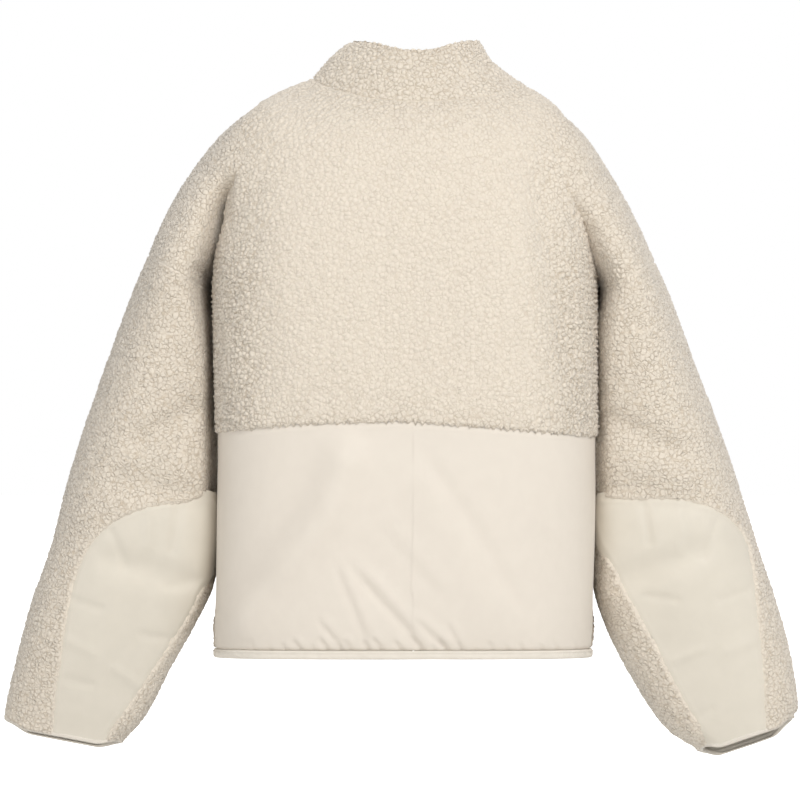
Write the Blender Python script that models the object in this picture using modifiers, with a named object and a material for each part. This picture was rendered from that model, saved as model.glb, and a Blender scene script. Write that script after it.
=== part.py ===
"""Cropped sherpa jacket with a stand collar, filled out as if worn.

Units are metres, +Z up. The back of the jacket faces -Y and its zip faces +Y. The origin is in the
middle of the neck opening, level with the points where the shoulders meet the collar.
Section tables are in millimetres.
"""

import math
from collections import namedtuple

import bmesh
import bpy
import numpy as np
from mathutils import Matrix, Vector

MM = 0.001

# Walls and seams
SEAM_GAP = 0.3 * MM
PILE_WALL = 5.0 * MM
NYLON_WALL = 2.4 * MM
NYLON_DROP = PILE_WALL - NYLON_WALL
SIDE_SEAM_Y = 18.0 * MM
REACH = 0.5
NECK_LEDGE = 7.0 * MM
HOLLOW_BELOW_HEM = 20.0 * MM
HOLLOW_ABOVE_NECK = 40.0 * MM
HOLLOW_PAST_ARM_SEAM = 15.0 * MM

# Zip
ZIP_HALF_WIDTH = 9.0 * MM
TAPE_INNER_X = 3.2 * MM
TAPE_DEPTH = 2.2 * MM
TAPE_WALL = 1.4 * MM
CHAIN_HALF_WIDTH = 2.9 * MM
CHAIN_DEPTH = 1.2 * MM
CHAIN_WALL = 2.8 * MM

# Bindings
HEM_BINDING_HEIGHT = 8.6 * MM
CUFF_BINDING_HEIGHT = 6.5 * MM
BINDING_INSET = 1.4 * MM
BINDING_WALL = 3.2 * MM
BINDING_BULGE = 0.8 * MM

# How finely the cloth is divided
OUTLINE_STEPS = 3
HEIGHT_STEPS = 80
TORSO_COLUMNS = 50
ROW_STEPS = 2
ARM_COLUMNS = 24
PANEL_COLUMNS = 28
PANEL_ROWS = 9

# One closed section round the body: where its side, back and front points lie
BodySection = namedtuple(
    "BodySection", "left right z_left z_right z_back z_front back front power arch")

TORSO_SECTIONS = (
    BodySection(-199, 181, -568, -568, -568, -568, -127, 122, 3.0, 1.6),
    BodySection(-200, 184, -530, -530, -530, -530, -133, 127, 3.0, 1.6),
    BodySection(-199, 187, -440, -440, -440, -440, -135, 131, 3.0, 1.6),
    BodySection(-198, 187, -350, -350, -350, -350, -134, 134, 3.1, 1.6),
    BodySection(-200, 187, -265, -265, -265, -265, -132, 137, 3.2, 1.6),
    BodySection(-199, 185, -195, -195, -195, -195, -130, 136, 3.2, 1.6),
    BodySection(-190, 177, -132, -132, -142, -155, -125, 130, 3.0, 1.6),
    BodySection(-179, 166, -80, -80, -100, -126, -117, 120, 2.7, 1.6),
    BodySection(-168, 154, -41, -41, -66, -104, -107, 108, 2.5, 1.6),
    BodySection(-140, 136, -16, -20, -42, -88, -96, 95, 2.3, 1.6),
    BodySection(-99, 115, 2, -6.5, -23, -74, -83, 80, 2.1, 1.6),
)

# Rows of the table that the lower back panel is laid out on
PANEL_MIDDLE_ROW = 2
PANEL_YOKE_ROW = 3
PANEL_TOP_ROW = 4
HEM_SLOPE_ROW = 0.2

COLLAR_SECTIONS = (
    BodySection(-99, 115, 2, -6.5, -23, -74, -83, 80, 2.1, 1.6),
    BodySection(-84, 82, 20, 17, 0, -46, -76, 79, 2.0, 2.0),
    BodySection(-69, 72, 33, 32, 18, -18, -70, 76, 2.0, 3.2),
    BodySection(-59, 68, 40, 40, 29, 7, -66, 73, 2.0, 4.5),
)

# One closed section round an arm: outer and inner points in the front view, depth along Y
ArmSection = namedtuple(
    "ArmSection", "outer_x outer_z inner_x inner_z half_depth y_middle front_drop")

ARM_SEAM_ROW = 4
ARM_POWER = 2.25
ARM_SECTIONS = {
    "left": (
        ArmSection(-150, -25, -82, -120, 60, 4, 0),
        ArmSection(-189, -53, -122, -165, 74, 8, 0),
        ArmSection(-225, -98, -160, -190, 86, 16, 0),
        ArmSection(-249, -140, -186, -200, 93, 22, 0),
        ArmSection(-264, -175, -204, -209, 96, 26, 0),
        ArmSection(-283, -220, -198, -256, 94, 28, 0),
        ArmSection(-305, -280, -196, -315, 90, 28, 0),
        ArmSection(-326, -340, -195, -372, 86, 28, 0),
        ArmSection(-346, -404, -195, -432, 82, 28, 0),
        ArmSection(-363, -470, -197, -496, 78, 29, 0),
        ArmSection(-382, -524, -216, -542, 71, 31, 1),
        ArmSection(-396, -576, -242, -588, 60, 34, 2),
        ArmSection(-405, -614, -263, -629, 47, 37, 3),
        ArmSection(-411, -645, -290, -668, 35, 40, 8),
    ),
    "right": (
        ArmSection(136, -27, 78, -120, 60, 2, 0),
        ArmSection(170, -53, 110, -165, 74, 2, 0),
        ArmSection(201, -98, 144, -190, 86, 8, 0),
        ArmSection(224, -140, 171, -200, 93, 14, 0),
        ArmSection(243, -182, 190, -210, 95, 18, 0),
        ArmSection(260, -220, 184, -253, 94, 22, 0),
        ArmSection(282, -280, 183, -313, 90, 25, 0),
        ArmSection(305, -340, 183, -371, 86, 26, 0),
        ArmSection(327, -404, 183, -432, 82, 28, 0),
        ArmSection(348, -470, 181, -498, 78, 29, 0),
        ArmSection(366, -524, 193, -543, 71, 31, 1),
        ArmSection(380, -576, 215, -588, 62, 34, 3),
        ArmSection(387, -620, 248, -640, 54, 38, 5),
        ArmSection(386, -643, 288, -676, 47, 40, 6),
    ),
}

# Soft troughs in the cloth, each along a line in the front view; depth is how far it sinks
Fold = namedtuple("Fold", "x0 z0 x1 z1 half_width depth")

# Folds are whole on the front and back and fade out round the sides; more than 1 fades later
BODY_FOLD_WRAP = 1.2
ARM_FOLD_WRAP = 1.3

# Hollow in each side of the body where the sleeve lies against it
DENT_DEPTH = 9.0 * MM
DENT_Y = 30.0 * MM
DENT_HALF_WIDTH = 45.0 * MM
DENT_TOP = -205.0 * MM
DENT_FOOT = -550.0 * MM
DENT_FADE = 45.0 * MM

BACK_FOLDS = (
    Fold(128, -110, 158, -270, 18, 7),
    Fold(-172, -150, -150, -300, 26, 4),
    Fold(-67, -370, -150, -520, 34, 6),
    Fold(13, -380, 108, -520, 24, 5),
    Fold(-27, -460, 38, -545, 20, 4),
    Fold(133, -460, 163, -540, 18, 4),
)
FRONT_FOLDS = (
    Fold(-130, -130, -160, -300, 22, 7),
    Fold(120, -120, 150, -260, 24, 6),
    Fold(-60, -360, -130, -530, 30, 6),
    Fold(45, -400, 110, -540, 26, 5),
)
ARM_FOLDS = {
    "left": (
        Fold(-215, -330, -270, -360, 14, 6),
        Fold(-214, -420, -290, -400, 16, 6),
        Fold(-225, -500, -300, -480, 14, 5),
    ),
    "right": (
        Fold(200, -340, 262, -372, 14, 6),
        Fold(202, -410, 280, -420, 16, 6),
        Fold(208, -500, 286, -470, 14, 5),
    ),
}

# Lower edge of the pile across the back, as (x, z)
YOKE_LINE = (
    (-230, -351), (-199, -350), (-112, -342), (-12, -339), (88, -346), (182, -354), (220, -356),
)

# Elbow patches in the back view, as (x, z), running past the cuff
PATCH_OUTLINES = {
    "left": (
        (-190, -419), (-225, -420), (-262, -425), (-298, -440), (-322, -462), (-337, -492),
        (-346, -530), (-353, -580), (-359, -620), (-358, -700), (-306, -700), (-303, -660),
        (-284, -632), (-262, -600), (-222, -540), (-207, -510), (-190, -490),
    ),
    "right": (
        (180, -419), (225, -417), (268, -418), (302, -430), (326, -450), (339, -484), (347, -540),
        (351, -580), (353, -620), (352, -700), (296, -700), (290, -655), (268, -600),
        (248, -558), (228, -520), (207, -482), (180, -462),
    ),
}
PATCH_DEPTH_Y = 26.0 * MM

# Zip slider and pull tab, in their own frame: X across, Y away from the cloth, Z up the zip
SLIDER_BELOW_TOP = 11.0 * MM
SLIDER_LENGTH = 12.0 * MM
SLIDER_TOP_WIDTH = 8.6 * MM
SLIDER_FOOT_WIDTH = 6.2 * MM
SLIDER_WALL = 1.8 * MM
SLIDER_EDGE = 0.4 * MM
SLIDER_SHOULDER_SHARE = 0.3
SLIDER_NOSE_SHARE = 0.8
BAIL_RADIUS = 0.65 * MM
BAIL_HALF_LENGTH = 3.0 * MM
BAIL_RISE = 3.2 * MM
BAIL_STEPS = 8
BAIL_SIDES = 8
TAB_WIDTH = 7.0 * MM
TAB_LENGTH = 30.0 * MM
TAB_WALL = 1.4 * MM
TAB_CROSSBAR = 1.2 * MM
TAB_EYE_WIDTH = 4.2 * MM
TAB_EYE_LENGTH = 4.4 * MM
TAB_LIFT = 1.1 * MM
TAB_EDGE = 0.45 * MM
EYE_REACH = 5.0 * MM
EDGE_SEGMENTS = 2

Finish = namedtuple("Finish", "color roughness metallic")
FINISHES = {
    "sherpa_pile": Finish((0.80, 0.73, 0.62), 0.95, 0.0),
    "nylon": Finish((0.76, 0.69, 0.59), 0.55, 0.0),
    "binding": Finish((0.84, 0.77, 0.67), 0.70, 0.0),
    "zip_tape": Finish((0.78, 0.71, 0.61), 0.80, 0.0),
    "zip_teeth": Finish((0.72, 0.66, 0.56), 0.40, 0.0),
    "zip_metal": Finish((0.62, 0.60, 0.57), 0.35, 1.0),
}


def clear_scene():
    for item in list(bpy.data.objects):
        bpy.data.objects.remove(item, do_unlink=True)


def new_collection(name):
    collection = bpy.data.collections.new(name)
    bpy.context.scene.collection.children.link(collection)
    return collection


def new_material(name, finish):
    material = bpy.data.materials.new(name)
    material.use_nodes = True
    shader = material.node_tree.nodes["Principled BSDF"]
    shader.inputs["Base Color"].default_value = (*finish.color, 1.0)
    shader.inputs["Roughness"].default_value = finish.roughness
    shader.inputs["Metallic"].default_value = finish.metallic
    return material


def add_object(name, mesh, collection, material=None):
    item = bpy.data.objects.new(name, mesh)
    collection.objects.link(item)
    if material:
        mesh.materials.append(material)
    mesh.shade_smooth()
    return item


def row_between(rows, position):
    """A smooth Catmull-Rom blend of a table's rows, at a fractional row number."""
    index = min(int(position), len(rows) - 2)
    share = position - index
    last = len(rows) - 1
    nearby = [rows[min(max(index + step, 0), last)] for step in (-1, 0, 1, 2)]
    before, here, there, after = (np.array(row, float) for row in nearby)
    slope = (there - before) / 2
    next_slope = (after - here) / 2
    square = share * share
    cube = square * share
    blended = (
        (2 * cube - 3 * square + 1) * here
        + (cube - 2 * square + share) * slope
        + (3 * square - 2 * cube) * there
        + (cube - square) * next_slope
    )
    return type(rows[0])(*blended)


def fold_sink(x, z, folds):
    """How far the cloth sinks at a point of the front view, in metres."""
    sink = 0.0
    for fold in folds:
        start = Vector((fold.x0, fold.z0))
        along = Vector((fold.x1, fold.z1)) - start
        point = Vector((x / MM, z / MM)) - start
        share = min(max(point.dot(along) / along.length_squared, 0.0), 1.0)
        distance = (point - along * share).length
        sink += fold.depth * math.exp(-((distance / fold.half_width) ** 2))
    return sink * MM


def round_factor(angle, power):
    """Stretches a circle's point at this angle onto a superellipse."""
    return (abs(math.cos(angle)) ** power + abs(math.sin(angle)) ** power) ** (-1 / power)


def body_point(section, angle):
    """A point of a body section; angle 0 is the right side, pi/2 the front, -pi/2 the back."""
    middle = (section.left + section.right) / 2
    half_width = (section.right - section.left) / 2
    factor = round_factor(angle, section.power)
    across = factor * math.cos(angle)
    deep = factor * math.sin(angle)
    reach = section.front if deep > 0 else -section.back
    z_side = (section.z_left + section.z_right) / 2 + across * (section.z_right - section.z_left) / 2
    z_deep = section.z_front if deep > 0 else section.z_back
    z = z_side + (z_deep - z_side) * abs(deep) ** section.arch
    return Vector((middle + half_width * across, reach * deep, z)) * MM


def ease(value):
    """A smooth step from 0 to 1."""
    share = min(max(value, 0.0), 1.0)
    return share * share * (3 - 2 * share)


def side_dent(point, outward):
    """How far the side of the body gives way to the sleeve at this point."""
    height = ease((DENT_TOP - point.z) / DENT_FADE) * ease((point.z - DENT_FOOT) / DENT_FADE)
    across = math.exp(-(((point.y - DENT_Y) / DENT_HALF_WIDTH) ** 2))
    return DENT_DEPTH * height * across * abs(outward.x)


def folded(point, outward):
    """The point moved in by the folds that cross it and by the sleeve beside it."""
    folds = FRONT_FOLDS if point.y > 0 else BACK_FOLDS
    share = min(abs(outward.y) * BODY_FOLD_WRAP, 1.0)
    sink = fold_sink(point.x, point.z, folds) * share + side_dent(point, outward)
    return point - outward * sink


def body_grid(section_at, positions, angles, closed):
    """Points and outward directions of the body's outer face, a row for each position."""
    rows = [[body_point(section_at(position), angle) for angle in angles] for position in positions]
    directions = grid_directions(rows, closed)
    points = [
        [folded(point, outward) for point, outward in zip(row, outwards)]
        for row, outwards in zip(rows, directions)
    ]
    return points, directions


def grid_directions(rows, closed):
    """Unit directions square to a grid whose columns run anticlockwise seen from above."""
    points = np.array([[tuple(point) for point in row] for row in rows])
    if closed:
        around = np.roll(points, -1, axis=1) - np.roll(points, 1, axis=1)
    else:
        around = np.gradient(points, axis=1)
    up = np.gradient(points, axis=0)
    directions = np.cross(around, up)
    directions /= np.linalg.norm(directions, axis=2, keepdims=True)
    return [[Vector(direction) for direction in row] for row in directions]


def pushed_in(points, directions, depth):
    return [
        [point - outward * depth for point, outward in zip(row, outwards)]
        for row, outwards in zip(points, directions)
    ]


def bridge_rows(mesh_rows, bm, closed):
    """Quads between each ring of vertices and the next."""
    for lower, upper in zip(mesh_rows, mesh_rows[1:]):
        count = len(lower)
        for index in range(count if closed else count - 1):
            after = (index + 1) % count
            bm.faces.new((lower[index], lower[after], upper[after], upper[index]))


def finish_mesh(name, bm):
    bmesh.ops.triangulate(bm, faces=bm.faces)
    bmesh.ops.recalc_face_normals(bm, faces=bm.faces)
    mesh = bpy.data.meshes.new(name)
    bm.to_mesh(mesh)
    bm.free()
    return mesh


def solid_mesh(name, rows):
    """A solid through closed rings, with a fan of triangles over each end."""
    bm = bmesh.new()
    mesh_rows = [[bm.verts.new(point) for point in row] for row in rows]
    bridge_rows(mesh_rows, bm, True)
    for ring in (mesh_rows[0], mesh_rows[-1]):
        middle = sum((vert.co for vert in ring), Vector()) / len(ring)
        tip = bm.verts.new(middle)
        for index, vert in enumerate(ring):
            bm.faces.new((vert, ring[(index + 1) % len(ring)], tip))
    return finish_mesh(name, bm)


def wall_mesh(name, outer, inner, closed):
    """A wall between an outer and an inner grid of points, with its edges closed."""
    bm = bmesh.new()
    outer_rows = [[bm.verts.new(point) for point in row] for row in outer]
    inner_rows = [[bm.verts.new(point) for point in row] for row in inner]
    bridge_rows(outer_rows, bm, closed)
    bridge_rows(inner_rows, bm, closed)
    bridge_rows((outer_rows[0], inner_rows[0]), bm, closed)
    bridge_rows((outer_rows[-1], inner_rows[-1]), bm, closed)
    if not closed:
        for column in (0, -1):
            outer_side = [row[column] for row in outer_rows]
            inner_side = [row[column] for row in inner_rows]
            bridge_rows((outer_side, inner_side), bm, False)
    return finish_mesh(name, bm)


def prism_mesh(name, outline, y_from, y_to):
    """A flat outline of the front view, drawn out along Y."""
    bm = bmesh.new()
    face = bm.faces.new([bm.verts.new((x, y_from, z)) for x, z in outline])
    drawn = bmesh.ops.extrude_face_region(bm, geom=[face])
    moved = [item for item in drawn["geom"] if isinstance(item, bmesh.types.BMVert)]
    bmesh.ops.translate(bm, verts=moved, vec=(0, y_to - y_from, 0))
    return finish_mesh(name, bm)


def add_cutter(name, mesh, cutters):
    item = add_object(name, mesh, cutters)
    item.hide_render = True
    item.display_type = "WIRE"
    return item


def boolean(target, tool, operation):
    modifier = target.modifiers.new(f"{operation.lower()} {tool.name}", "BOOLEAN")
    modifier.object = tool
    modifier.operation = operation
    modifier.solver = "EXACT"


def smooth_outline(points, steps, grow=0.0):
    """A closed smooth curve through outline points, moved out by the distance grow."""
    count = len(points)
    curve = []
    for index in range(count):
        nearby = [points[(index + step) % count] for step in (-1, 0, 1, 2)]
        before, here, there, after = (Vector(point) for point in nearby)
        for step in range(steps):
            share = step / steps
            curve.append(0.5 * (
                2 * here
                + (there - before) * share
                + (2 * before - 5 * here + 4 * there - after) * share ** 2
                + (3 * here - before - 3 * there + after) * share ** 3
            ))
    area = sum(a.x * b.y - b.x * a.y for a, b in zip(curve, curve[1:] + curve[:1]))
    turn = math.copysign(1.0, area)
    grown = []
    for index, point in enumerate(curve):
        along = (curve[(index + 1) % len(curve)] - curve[index - 1]).normalized()
        grown.append(point * MM + Vector((along.y, -along.x)) * turn * grow)
    return grown


def yoke_height(x):
    """Height of the lower edge of the pile across the back."""
    xs = [point[0] * MM for point in YOKE_LINE]
    zs = [point[1] * MM for point in YOKE_LINE]
    return float(np.interp(x, xs, zs))


def torso_section(position):
    return row_between(TORSO_SECTIONS, position)


def collar_section(position):
    return row_between(COLLAR_SECTIONS, position)


def positions_between(first, last, steps):
    return [first + (last - first) * index / steps for index in range(steps + 1)]


def ring_angles(turn=0.0):
    """Even angles round a body ring, turned on by a share of one column."""
    return [2 * math.pi * (index + turn) / TORSO_COLUMNS for index in range(TORSO_COLUMNS)]


def torso_solids(cutters):
    """The torso's outer form, and its hollow, which runs out through the neck and the hem."""
    last = len(TORSO_SECTIONS) - 1
    positions = positions_between(0, last, last * ROW_STEPS)
    outer, directions = body_grid(torso_section, positions, ring_angles(), True)
    between, between_directions = body_grid(torso_section, positions, ring_angles(0.5), True)
    inner = pushed_in(between, between_directions, PILE_WALL)
    hem_z = outer[0][0].z
    hem_row = [Vector((point.x, point.y, hem_z)) for point in inner[0]]
    below_hem = [point - Vector((0, 0, HOLLOW_BELOW_HEM)) for point in hem_row]
    above_neck = [point + Vector((0, 0, HOLLOW_ABOVE_NECK)) for point in inner[-1]]
    neck_ledge = level_row_in(outer[-1], directions[-1], NECK_LEDGE)
    form_mesh = solid_mesh("torso_form", outer + [neck_ledge])
    hollow_mesh = solid_mesh("torso_hollow", [below_hem, hem_row] + inner[1:] + [above_neck])
    return form_mesh, add_cutter("torso_hollow", hollow_mesh, cutters)


def level_in(point, outward, depth):
    """The point moved level towards the middle of its ring."""
    level = Vector((outward.x, outward.y, 0)).normalized()
    return point - level * depth


def level_row_in(row, outwards, depth):
    return [level_in(point, outward, depth) for point, outward in zip(row, outwards)]


def arm_section(side, position):
    return row_between(ARM_SECTIONS[side], position)


def arm_ring(side, position, inset=0.0, shift=0.0):
    """One ring of an arm, made smaller by inset and moved down the arm by shift."""
    section = arm_section(side, position)
    outer = Vector((section.outer_x, 0, section.outer_z)) * MM
    inner = Vector((section.inner_x, 0, section.inner_z)) * MM
    across = (inner - outer).normalized()
    middle = (outer + inner) / 2 + Vector((0, section.y_middle * MM, 0))
    down = across.cross(Vector((0, 1, 0)))
    if down.z > 0:
        down.negate()
    half_width = (inner - outer).length / 2
    half_depth = section.half_depth * MM
    lean = section.front_drop / section.half_depth
    ring = []
    for index in range(ARM_COLUMNS):
        angle = 2 * math.pi * index / ARM_COLUMNS
        factor = round_factor(angle, ARM_POWER)
        cos = factor * math.cos(angle)
        sin = factor * math.sin(angle)
        rough = middle + across * half_width * cos + Vector((0, half_depth * sin, 0))
        share = min(abs(sin) * ARM_FOLD_WRAP, 1.0)
        sink = fold_sink(rough.x, rough.z, ARM_FOLDS[side]) * share
        width = half_width - inset
        depth = half_depth - inset - sink
        point = middle + across * width * cos + Vector((0, 1, -lean)) * depth * sin
        ring.append(point + down * shift)
    return ring


def arm_stub_solids(side, cutters):
    """The top of an arm, from inside the torso to the dropped shoulder seam, and its hollow."""
    positions = positions_between(0, ARM_SEAM_ROW, ARM_SEAM_ROW * ROW_STEPS)
    form_rings = [arm_ring(side, position) for position in positions]
    hollow_rings = [arm_ring(side, position, PILE_WALL) for position in positions]
    hollow_rings.append(arm_ring(side, ARM_SEAM_ROW, PILE_WALL, HOLLOW_PAST_ARM_SEAM))
    form_name = f"arm_form_{side}"
    hollow_name = f"arm_hollow_{side}"
    form = add_cutter(form_name, solid_mesh(form_name, form_rings), cutters)
    hollow = add_cutter(hollow_name, solid_mesh(hollow_name, hollow_rings), cutters)
    return form, hollow


def build_body_panels(parts, cutters, materials):
    """Back yoke and the two fronts: torso and arm tops joined, hollowed and cut apart at the seams."""
    form_mesh, body_hollow = torso_solids(cutters)
    forms = []
    for side in ARM_SECTIONS:
        form, hollow = arm_stub_solids(side, cutters)
        forms.append(form)
        boolean(body_hollow, hollow, "UNION")

    half_gap = SEAM_GAP / 2
    yoke_outline = [(x * MM, z * MM + half_gap) for x, z in YOKE_LINE]
    yoke_outline[0] = (-REACH, yoke_outline[0][1])
    yoke_outline[-1] = (REACH, yoke_outline[-1][1])
    yoke_outline += [(REACH, REACH), (-REACH, REACH)]
    left_outline = [
        (-REACH, -REACH * 2), (-ZIP_HALF_WIDTH, -REACH * 2), (-ZIP_HALF_WIDTH, REACH), (-REACH, REACH),
    ]
    right_outline = [(-x, z) for x, z in left_outline]
    pieces = {
        "back_yoke": (yoke_outline, -REACH, SIDE_SEAM_Y - half_gap),
        "front_left": (left_outline, SIDE_SEAM_Y + half_gap, REACH),
        "front_right": (right_outline, SIDE_SEAM_Y + half_gap, REACH),
    }
    for name, (outline, y_from, y_to) in pieces.items():
        region_name = f"{name}_region"
        region = add_cutter(region_name, prism_mesh(region_name, outline, y_from, y_to), cutters)
        panel = add_object(name, form_mesh.copy(), parts, materials["sherpa_pile"])
        for form in forms:
            boolean(panel, form, "UNION")
        boolean(panel, body_hollow, "DIFFERENCE")
        boolean(panel, region, "INTERSECT")


def build_back_lower_panel(parts, materials):
    """Nylon panel of the lower back, from side seam to side seam."""
    section = torso_section(PANEL_MIDDLE_ROW)
    seam_angle = math.asin(SIDE_SEAM_Y / (section.front * MM))
    angles = positions_between(-math.pi - seam_angle, seam_angle, PANEL_COLUMNS)
    dense = positions_between(0, PANEL_TOP_ROW, HEIGHT_STEPS)
    heights = [torso_section(position).z_back * MM for position in dense]
    bottom = heights[0]
    yoke_section = torso_section(PANEL_YOKE_ROW)
    rows = []
    for row in range(PANEL_ROWS + 1):
        share = row / PANEL_ROWS
        line = []
        for angle in angles:
            top = yoke_height(body_point(yoke_section, angle).x) - SEAM_GAP / 2
            position = float(np.interp(bottom + (top - bottom) * share, heights, dense))
            line.append(body_point(torso_section(position), angle))
        rows.append(line)
    directions = grid_directions(rows, False)
    sunk = [
        [folded(point, outward) for point, outward in zip(row, outwards)]
        for row, outwards in zip(rows, directions)
    ]
    outer = pushed_in(sunk, directions, NYLON_DROP)
    inner = pushed_in(sunk, directions, PILE_WALL)
    for grid in (outer, inner):
        for row in grid:
            row[0].y = SIDE_SEAM_Y - SEAM_GAP / 2
            row[-1].y = SIDE_SEAM_Y - SEAM_GAP / 2
        for point in grid[0]:
            point.z = bottom
        for point in grid[-1]:
            point.z = yoke_height(point.x) - SEAM_GAP / 2
    mesh = wall_mesh("back_lower_panel", outer, inner, False)
    add_object("back_lower_panel", mesh, parts, materials["nylon"])


def open_front_angles(section):
    """Ring angles from the right edge of the zip round the back to its left edge."""
    half_width = (section.right - section.left) / 2 * MM
    middle = (section.left + section.right) / 2 * MM
    right_end = math.pi / 2 - math.asin((ZIP_HALF_WIDTH - middle) / half_width)
    left_end = math.pi / 2 + math.asin((ZIP_HALF_WIDTH + middle) / half_width)
    turn = 2 * math.pi
    first = left_end - turn
    margin = turn / TORSO_COLUMNS / 3
    between = [angle - turn for angle in ring_angles()] + ring_angles()
    kept = [angle for angle in between if first + margin < angle < right_end - margin]
    return [first] + kept + [right_end]


def square_zip_edges(grid):
    for row in grid:
        row[0].x = -ZIP_HALF_WIDTH
        row[-1].x = ZIP_HALF_WIDTH


def build_collar(parts, materials):
    """Stand collar, from the neck seam to its top edge, open at the zip."""
    angles = open_front_angles(collar_section(0))
    last = len(COLLAR_SECTIONS) - 1
    positions = positions_between(0, last, last + 1)
    outer, directions = body_grid(collar_section, positions, angles, False)
    inner = pushed_in(outer, directions, PILE_WALL)
    lift = Vector((0, 0, SEAM_GAP))
    for column, outward in enumerate(directions[0]):
        inner[0][column] = level_in(outer[0][column], outward, PILE_WALL) + lift
        outer[0][column] = outer[0][column] + lift
    for grid in (outer, inner):
        square_zip_edges(grid)
    add_object("collar", wall_mesh("collar", outer, inner, False), parts, materials["sherpa_pile"])


def build_hem_binding(parts, materials):
    """Narrow elastic binding round the hem, open at the zip."""
    section = torso_section(0)
    angles = open_front_angles(section)
    base, directions = body_grid(torso_section, (0, HEM_SLOPE_ROW), angles, False)
    outer = []
    inner = []
    for share, bulge in ((0, 0), (0.5, 1), (1, 0)):
        inset = BINDING_INSET - BINDING_BULGE * bulge
        thickness = BINDING_WALL + 2 * BINDING_BULGE * bulge
        z = section.z_back * MM - SEAM_GAP - HEM_BINDING_HEIGHT * share
        outer.append(level_row_in(base[0], directions[0], inset))
        inner.append(level_row_in(base[0], directions[0], inset + thickness))
        for point in outer[-1] + inner[-1]:
            point.z = z
    for grid in (outer, inner):
        square_zip_edges(grid)
    mesh = wall_mesh("hem_binding", outer, inner, False)
    add_object("hem_binding", mesh, parts, materials["binding"])


def build_sleeve(side, parts, cutters, materials):
    """Sleeve tube with its elbow patch let in, and the binding of its cuff."""
    cuff_row = len(ARM_SECTIONS[side]) - 1
    steps = (cuff_row - ARM_SEAM_ROW) * ROW_STEPS
    positions = positions_between(ARM_SEAM_ROW, cuff_row, steps)

    def tube(inset):
        first = arm_ring(side, ARM_SEAM_ROW, inset, SEAM_GAP)
        return [first] + [arm_ring(side, position, inset) for position in positions[1:]]

    outline = PATCH_OUTLINES[side]
    region_name = f"patch_region_{side}"
    patch_outline = smooth_outline(outline, OUTLINE_STEPS)
    patch_region = prism_mesh(region_name, patch_outline, -REACH, PATCH_DEPTH_Y)
    patch_cutter = add_cutter(region_name, patch_region, cutters)
    opening_name = f"patch_opening_{side}"
    wide_outline = smooth_outline(outline, OUTLINE_STEPS, SEAM_GAP)
    opening = prism_mesh(opening_name, wide_outline, -REACH, PATCH_DEPTH_Y + SEAM_GAP)
    opening_cutter = add_cutter(opening_name, opening, cutters)

    sleeve_mesh = wall_mesh(f"sleeve_{side}", tube(0.0), tube(PILE_WALL), True)
    sleeve = add_object(f"sleeve_{side}", sleeve_mesh, parts, materials["sherpa_pile"])
    boolean(sleeve, opening_cutter, "DIFFERENCE")

    patch_mesh = wall_mesh(f"elbow_patch_{side}", tube(NYLON_DROP), tube(PILE_WALL), True)
    patch = add_object(f"elbow_patch_{side}", patch_mesh, parts, materials["nylon"])
    boolean(patch, patch_cutter, "INTERSECT")

    outer = []
    inner = []
    for share, bulge in ((0, 0), (0.5, 1), (1, 0)):
        shift = SEAM_GAP + CUFF_BINDING_HEIGHT * share
        inset = BINDING_INSET - BINDING_BULGE * bulge
        thickness = BINDING_WALL + 2 * BINDING_BULGE * bulge
        outer.append(arm_ring(side, cuff_row, inset, shift))
        inner.append(arm_ring(side, cuff_row, inset + thickness, shift))
    binding = wall_mesh(f"cuff_binding_{side}", outer, inner, True)
    add_object(f"cuff_binding_{side}", binding, parts, materials["binding"])


def zip_path():
    """Points up the middle of the front, with the direction away from the cloth at each."""
    torso_last = len(TORSO_SECTIONS) - 1
    collar_last = len(COLLAR_SECTIONS) - 1
    torso_positions = positions_between(0, torso_last, torso_last * ROW_STEPS)
    collar_positions = positions_between(0, collar_last, collar_last * ROW_STEPS)
    sections = [torso_section(position) for position in torso_positions]
    sections += [collar_section(position) for position in collar_positions[1:]]
    points = [Vector((0, section.front, section.z_front)) * MM for section in sections]
    foot = points[0] - Vector((0, 0, HEM_BINDING_HEIGHT))
    points.insert(0, foot)
    directions = []
    for index in range(len(points)):
        along = points[min(index + 1, len(points) - 1)] - points[max(index - 1, 0)]
        directions.append(Vector((0, along.z, -along.y)).normalized())
    return points, directions


def build_zip_strip(name, x_from, x_to, depth, wall, parts, material):
    """A flat strip that follows the middle of the front."""
    points, directions = zip_path()
    rings = []
    for point, outward in zip(points, directions):
        top = point - outward * depth
        under = point - outward * (depth + wall)
        rings.append([
            Vector((x_from, top.y, top.z)), Vector((x_to, top.y, top.z)),
            Vector((x_to, under.y, under.z)), Vector((x_from, under.y, under.z)),
        ])
    add_object(name, solid_mesh(name, rings), parts, material)


def build_zip(parts, materials):
    outer_x = ZIP_HALF_WIDTH - SEAM_GAP
    tape = materials["zip_tape"]
    teeth = materials["zip_teeth"]
    half = CHAIN_HALF_WIDTH
    build_zip_strip("zip_tape_left", -outer_x, -TAPE_INNER_X, TAPE_DEPTH, TAPE_WALL, parts, tape)
    build_zip_strip("zip_tape_right", TAPE_INNER_X, outer_x, TAPE_DEPTH, TAPE_WALL, parts, tape)
    build_zip_strip("zip_chain", -half, half, CHAIN_DEPTH, CHAIN_WALL, parts, teeth)


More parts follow.
